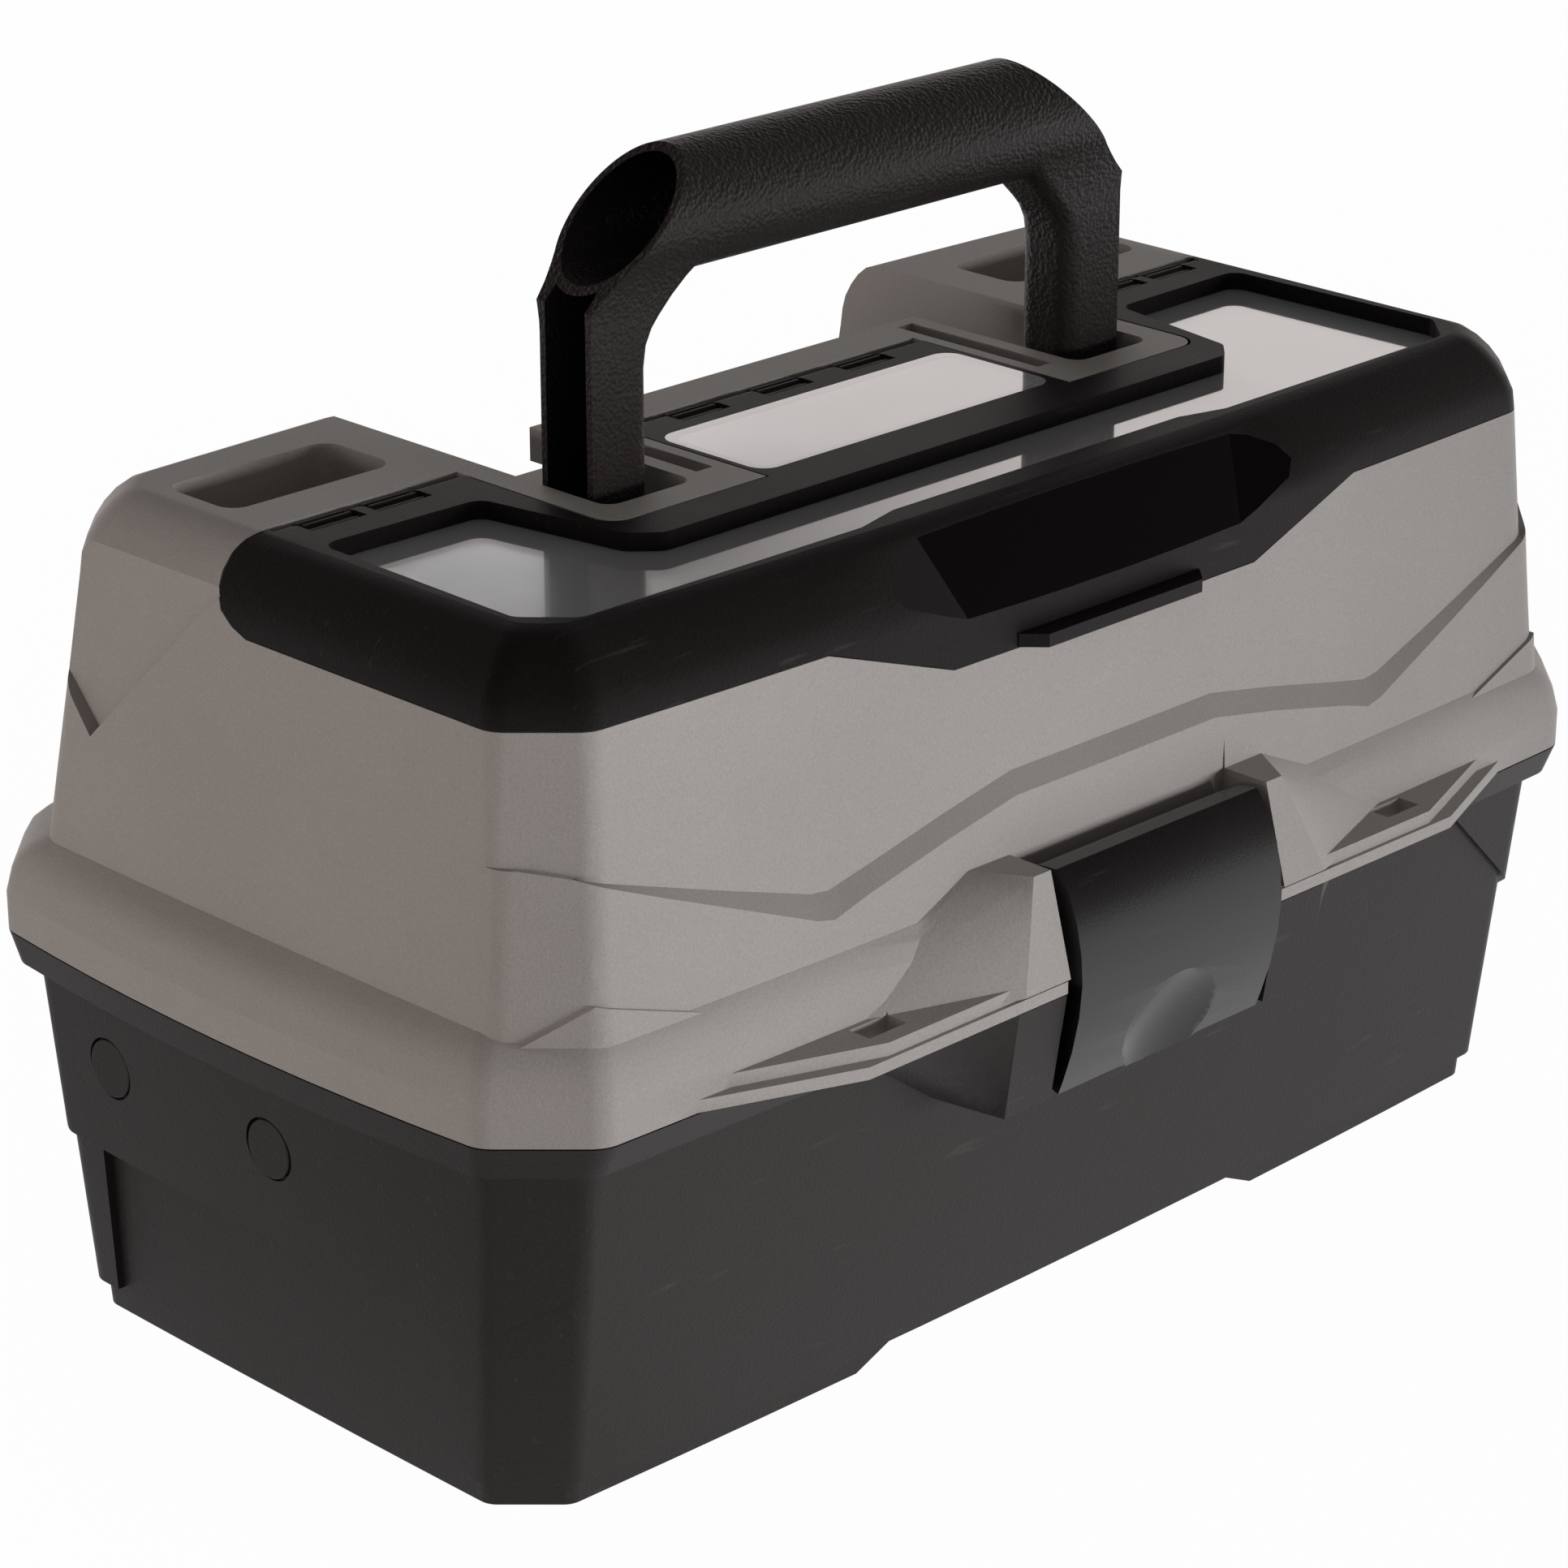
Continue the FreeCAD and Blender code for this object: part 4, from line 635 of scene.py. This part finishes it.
def soft_lamp(name, place, size, power, colour):
    """A large lamp aimed at the box, which lights it but isn't mirrored in it."""
    lamp = bpy.data.lights.new(name, "AREA")
    lamp.shape = "RECTANGLE"
    lamp.size, lamp.size_y = size
    lamp.energy = power
    lamp.color = colour
    thing = bpy.data.objects.new(name, lamp)
    bpy.context.scene.collection.objects.link(thing)
    thing.location = place
    thing.visible_glossy = False
    aim(thing, LAMP_TARGET)


def sheet(name, corners, material):
    """A flat sheet of four corners."""
    mesh = bpy.data.meshes.new(name)
    mesh.from_pydata(corners, [], [(0, 1, 2, 3)])
    mesh.materials.append(material)
    thing = bpy.data.objects.new(name, mesh)
    bpy.context.scene.collection.objects.link(thing)
    return thing


class ARTBOX_OT_stage(bpy.types.Operator):
    """Set the floor, the room, the lamps and the camera"""

    bl_idname = "artbox.stage"
    bl_label = "Stage"

    def execute(self, context):
        scene = context.scene
        settings = scene.art_box_stage
        scene.view_settings.view_transform = "Standard"
        self.floor()
        self.card()
        self.room(scene, settings)
        for name, (place, size, colour) in LAMPS.items():
            soft_lamp(name + "_lamp", place, size, getattr(settings, name + "_power"), colour)
        self.camera(scene, settings)
        return {"FINISHED"}

    def floor(self):
        """A matt floor that looks white and is mirrored dimmer at the left of the box."""
        graph, surface = new_material("floor_white")
        for key, value in FLOOR_SURFACE.items():
            surface[key].default_value = value
        path = graph.add("ShaderNodeLightPath").outputs
        across = graph.part(graph.add("ShaderNodeTexCoord").outputs["Object"], "X")
        shade = graph.ramp(across, FLOOR_SHADE, (FLOOR_DIM, 1.0))
        bright = graph.calc("MAXIMUM", path["Is Camera Ray"], shade)
        white = graph.add("ShaderNodeEmission", {"Strength": bright})
        share = graph.calc("MULTIPLY", self.seen(graph, path), FLOOR_WHITE)
        mix = graph.add("ShaderNodeMixShader", {
            "Fac": share, 1: graph.nodes["Principled BSDF"].outputs["BSDF"], 2: white.outputs["Emission"]})
        graph.link(mix.outputs["Shader"], graph.nodes["Material Output"].inputs["Surface"])
        half = FLOOR_HALF
        sheet("floor", [(-half, -half, 0), (half, -half, 0), (half, half, 0), (-half, half, 0)], graph.owner)

    def card(self):
        """A dark card that keeps part of the key lamp off the right end of the box, and isn't seen itself."""
        graph, surface = new_material("card_black")
        surface["Base Color"].default_value = CARD_COLOUR
        near, far = CARD_ENDS
        top, foot = (CARD_HEIGHT,), (0,)
        card = sheet("card", [near + foot, far + foot, far + top, near + top], graph.owner)
        card.visible_camera = card.visible_glossy = card.visible_transmission = card.visible_diffuse = False

    def seen(self, graph, path):
        """One for rays from the camera, mirrored rays and rays through a pane."""
        direct = graph.calc("MAXIMUM", path["Is Camera Ray"], path["Is Glossy Ray"])
        return graph.calc("MAXIMUM", direct, path["Is Transmission Ray"])

    def room(self, scene, settings):
        """A room lit from the sides. Mirrored rays find a low white wall behind and dimness in front."""
        world = bpy.data.worlds.new("room")
        scene.world = world
        world.use_nodes = True
        graph = Graph(world)
        path = graph.add("ShaderNodeLightPath").outputs
        way = graph.add("ShaderNodeTexCoord").outputs["Generated"]
        height = graph.part(way, "Z")
        white = graph.ramp(graph.along(way, BEHIND), BEHIND_EDGES, (settings.dim, 1.0))
        wall = graph.ramp(height, BACKDROP_TOP, (1.0, settings.above))
        shown = graph.calc("MAXIMUM", path["Is Camera Ray"], graph.calc("MULTIPLY", white, wall))
        lit = graph.ramp(height, OVERHEAD_EDGES, (settings.room, settings.room * settings.overhead))
        background = graph.nodes["Background"].inputs
        graph.link(graph.mix(path["Is Camera Ray"], ROOM_TONE, WHITE, "RGBA"), background["Color"])
        graph.link(graph.mix(self.seen(graph, path), lit, shown), background["Strength"])

    def camera(self, scene, settings):
        lens = bpy.data.cameras.new("camera")
        lens.sensor_width = SENSOR_WIDTH
        lens.lens = settings.lens
        lens.clip_start = CLIP_START
        camera = bpy.data.objects.new("camera", lens)
        scene.collection.objects.link(camera)
        back = Vector((
            math.sin(settings.azimuth) * math.cos(settings.elevation),
            -math.cos(settings.azimuth) * math.cos(settings.elevation),
            math.sin(settings.elevation),
        ))
        camera.location = Vector(settings.target) + back * settings.distance
        aim(camera, settings.target)
        scene.camera = camera


PIECES = (
    ARTBOX_OT_base, ARTBOX_OT_lid, ARTBOX_OT_door, ARTBOX_OT_handle, ARTBOX_OT_latch, ARTBOX_OT_inside,
    ARTBOX_OT_stage,
)


class ARTBOX_PT_panel(bpy.types.Panel):
    """The steps that dress the box, in order"""

    bl_idname = "ARTBOX_PT_panel"
    bl_label = "Art box"
    bl_space_type = "VIEW_3D"
    bl_region_type = "UI"
    bl_category = "Art box"

    def draw(self, context):
        for group in (context.scene.art_box_finish, context.scene.art_box_stage):
            for name in group.__annotations__:
                self.layout.prop(group, name)
        for piece in PIECES:
            self.layout.operator(piece.bl_idname)


CLASSES = (ArtBoxFinish, ArtBoxStage) + PIECES + (ARTBOX_PT_panel,)


def register():
    for item in CLASSES:
        bpy.utils.register_class(item)
    bpy.types.Scene.art_box_finish = bpy.props.PointerProperty(type=ArtBoxFinish)
    bpy.types.Scene.art_box_stage = bpy.props.PointerProperty(type=ArtBoxStage)


def unregister():
    del bpy.types.Scene.art_box_stage
    del bpy.types.Scene.art_box_finish
    for item in reversed(CLASSES):
        bpy.utils.unregister_class(item)


def main():
    register()
    bpy.ops.artbox.base()
    bpy.ops.artbox.lid()
    bpy.ops.artbox.door()
    bpy.ops.artbox.handle()
    bpy.ops.artbox.latch()
    bpy.ops.artbox.inside()
    bpy.ops.artbox.stage()


if __name__ == "__main__":
    main()
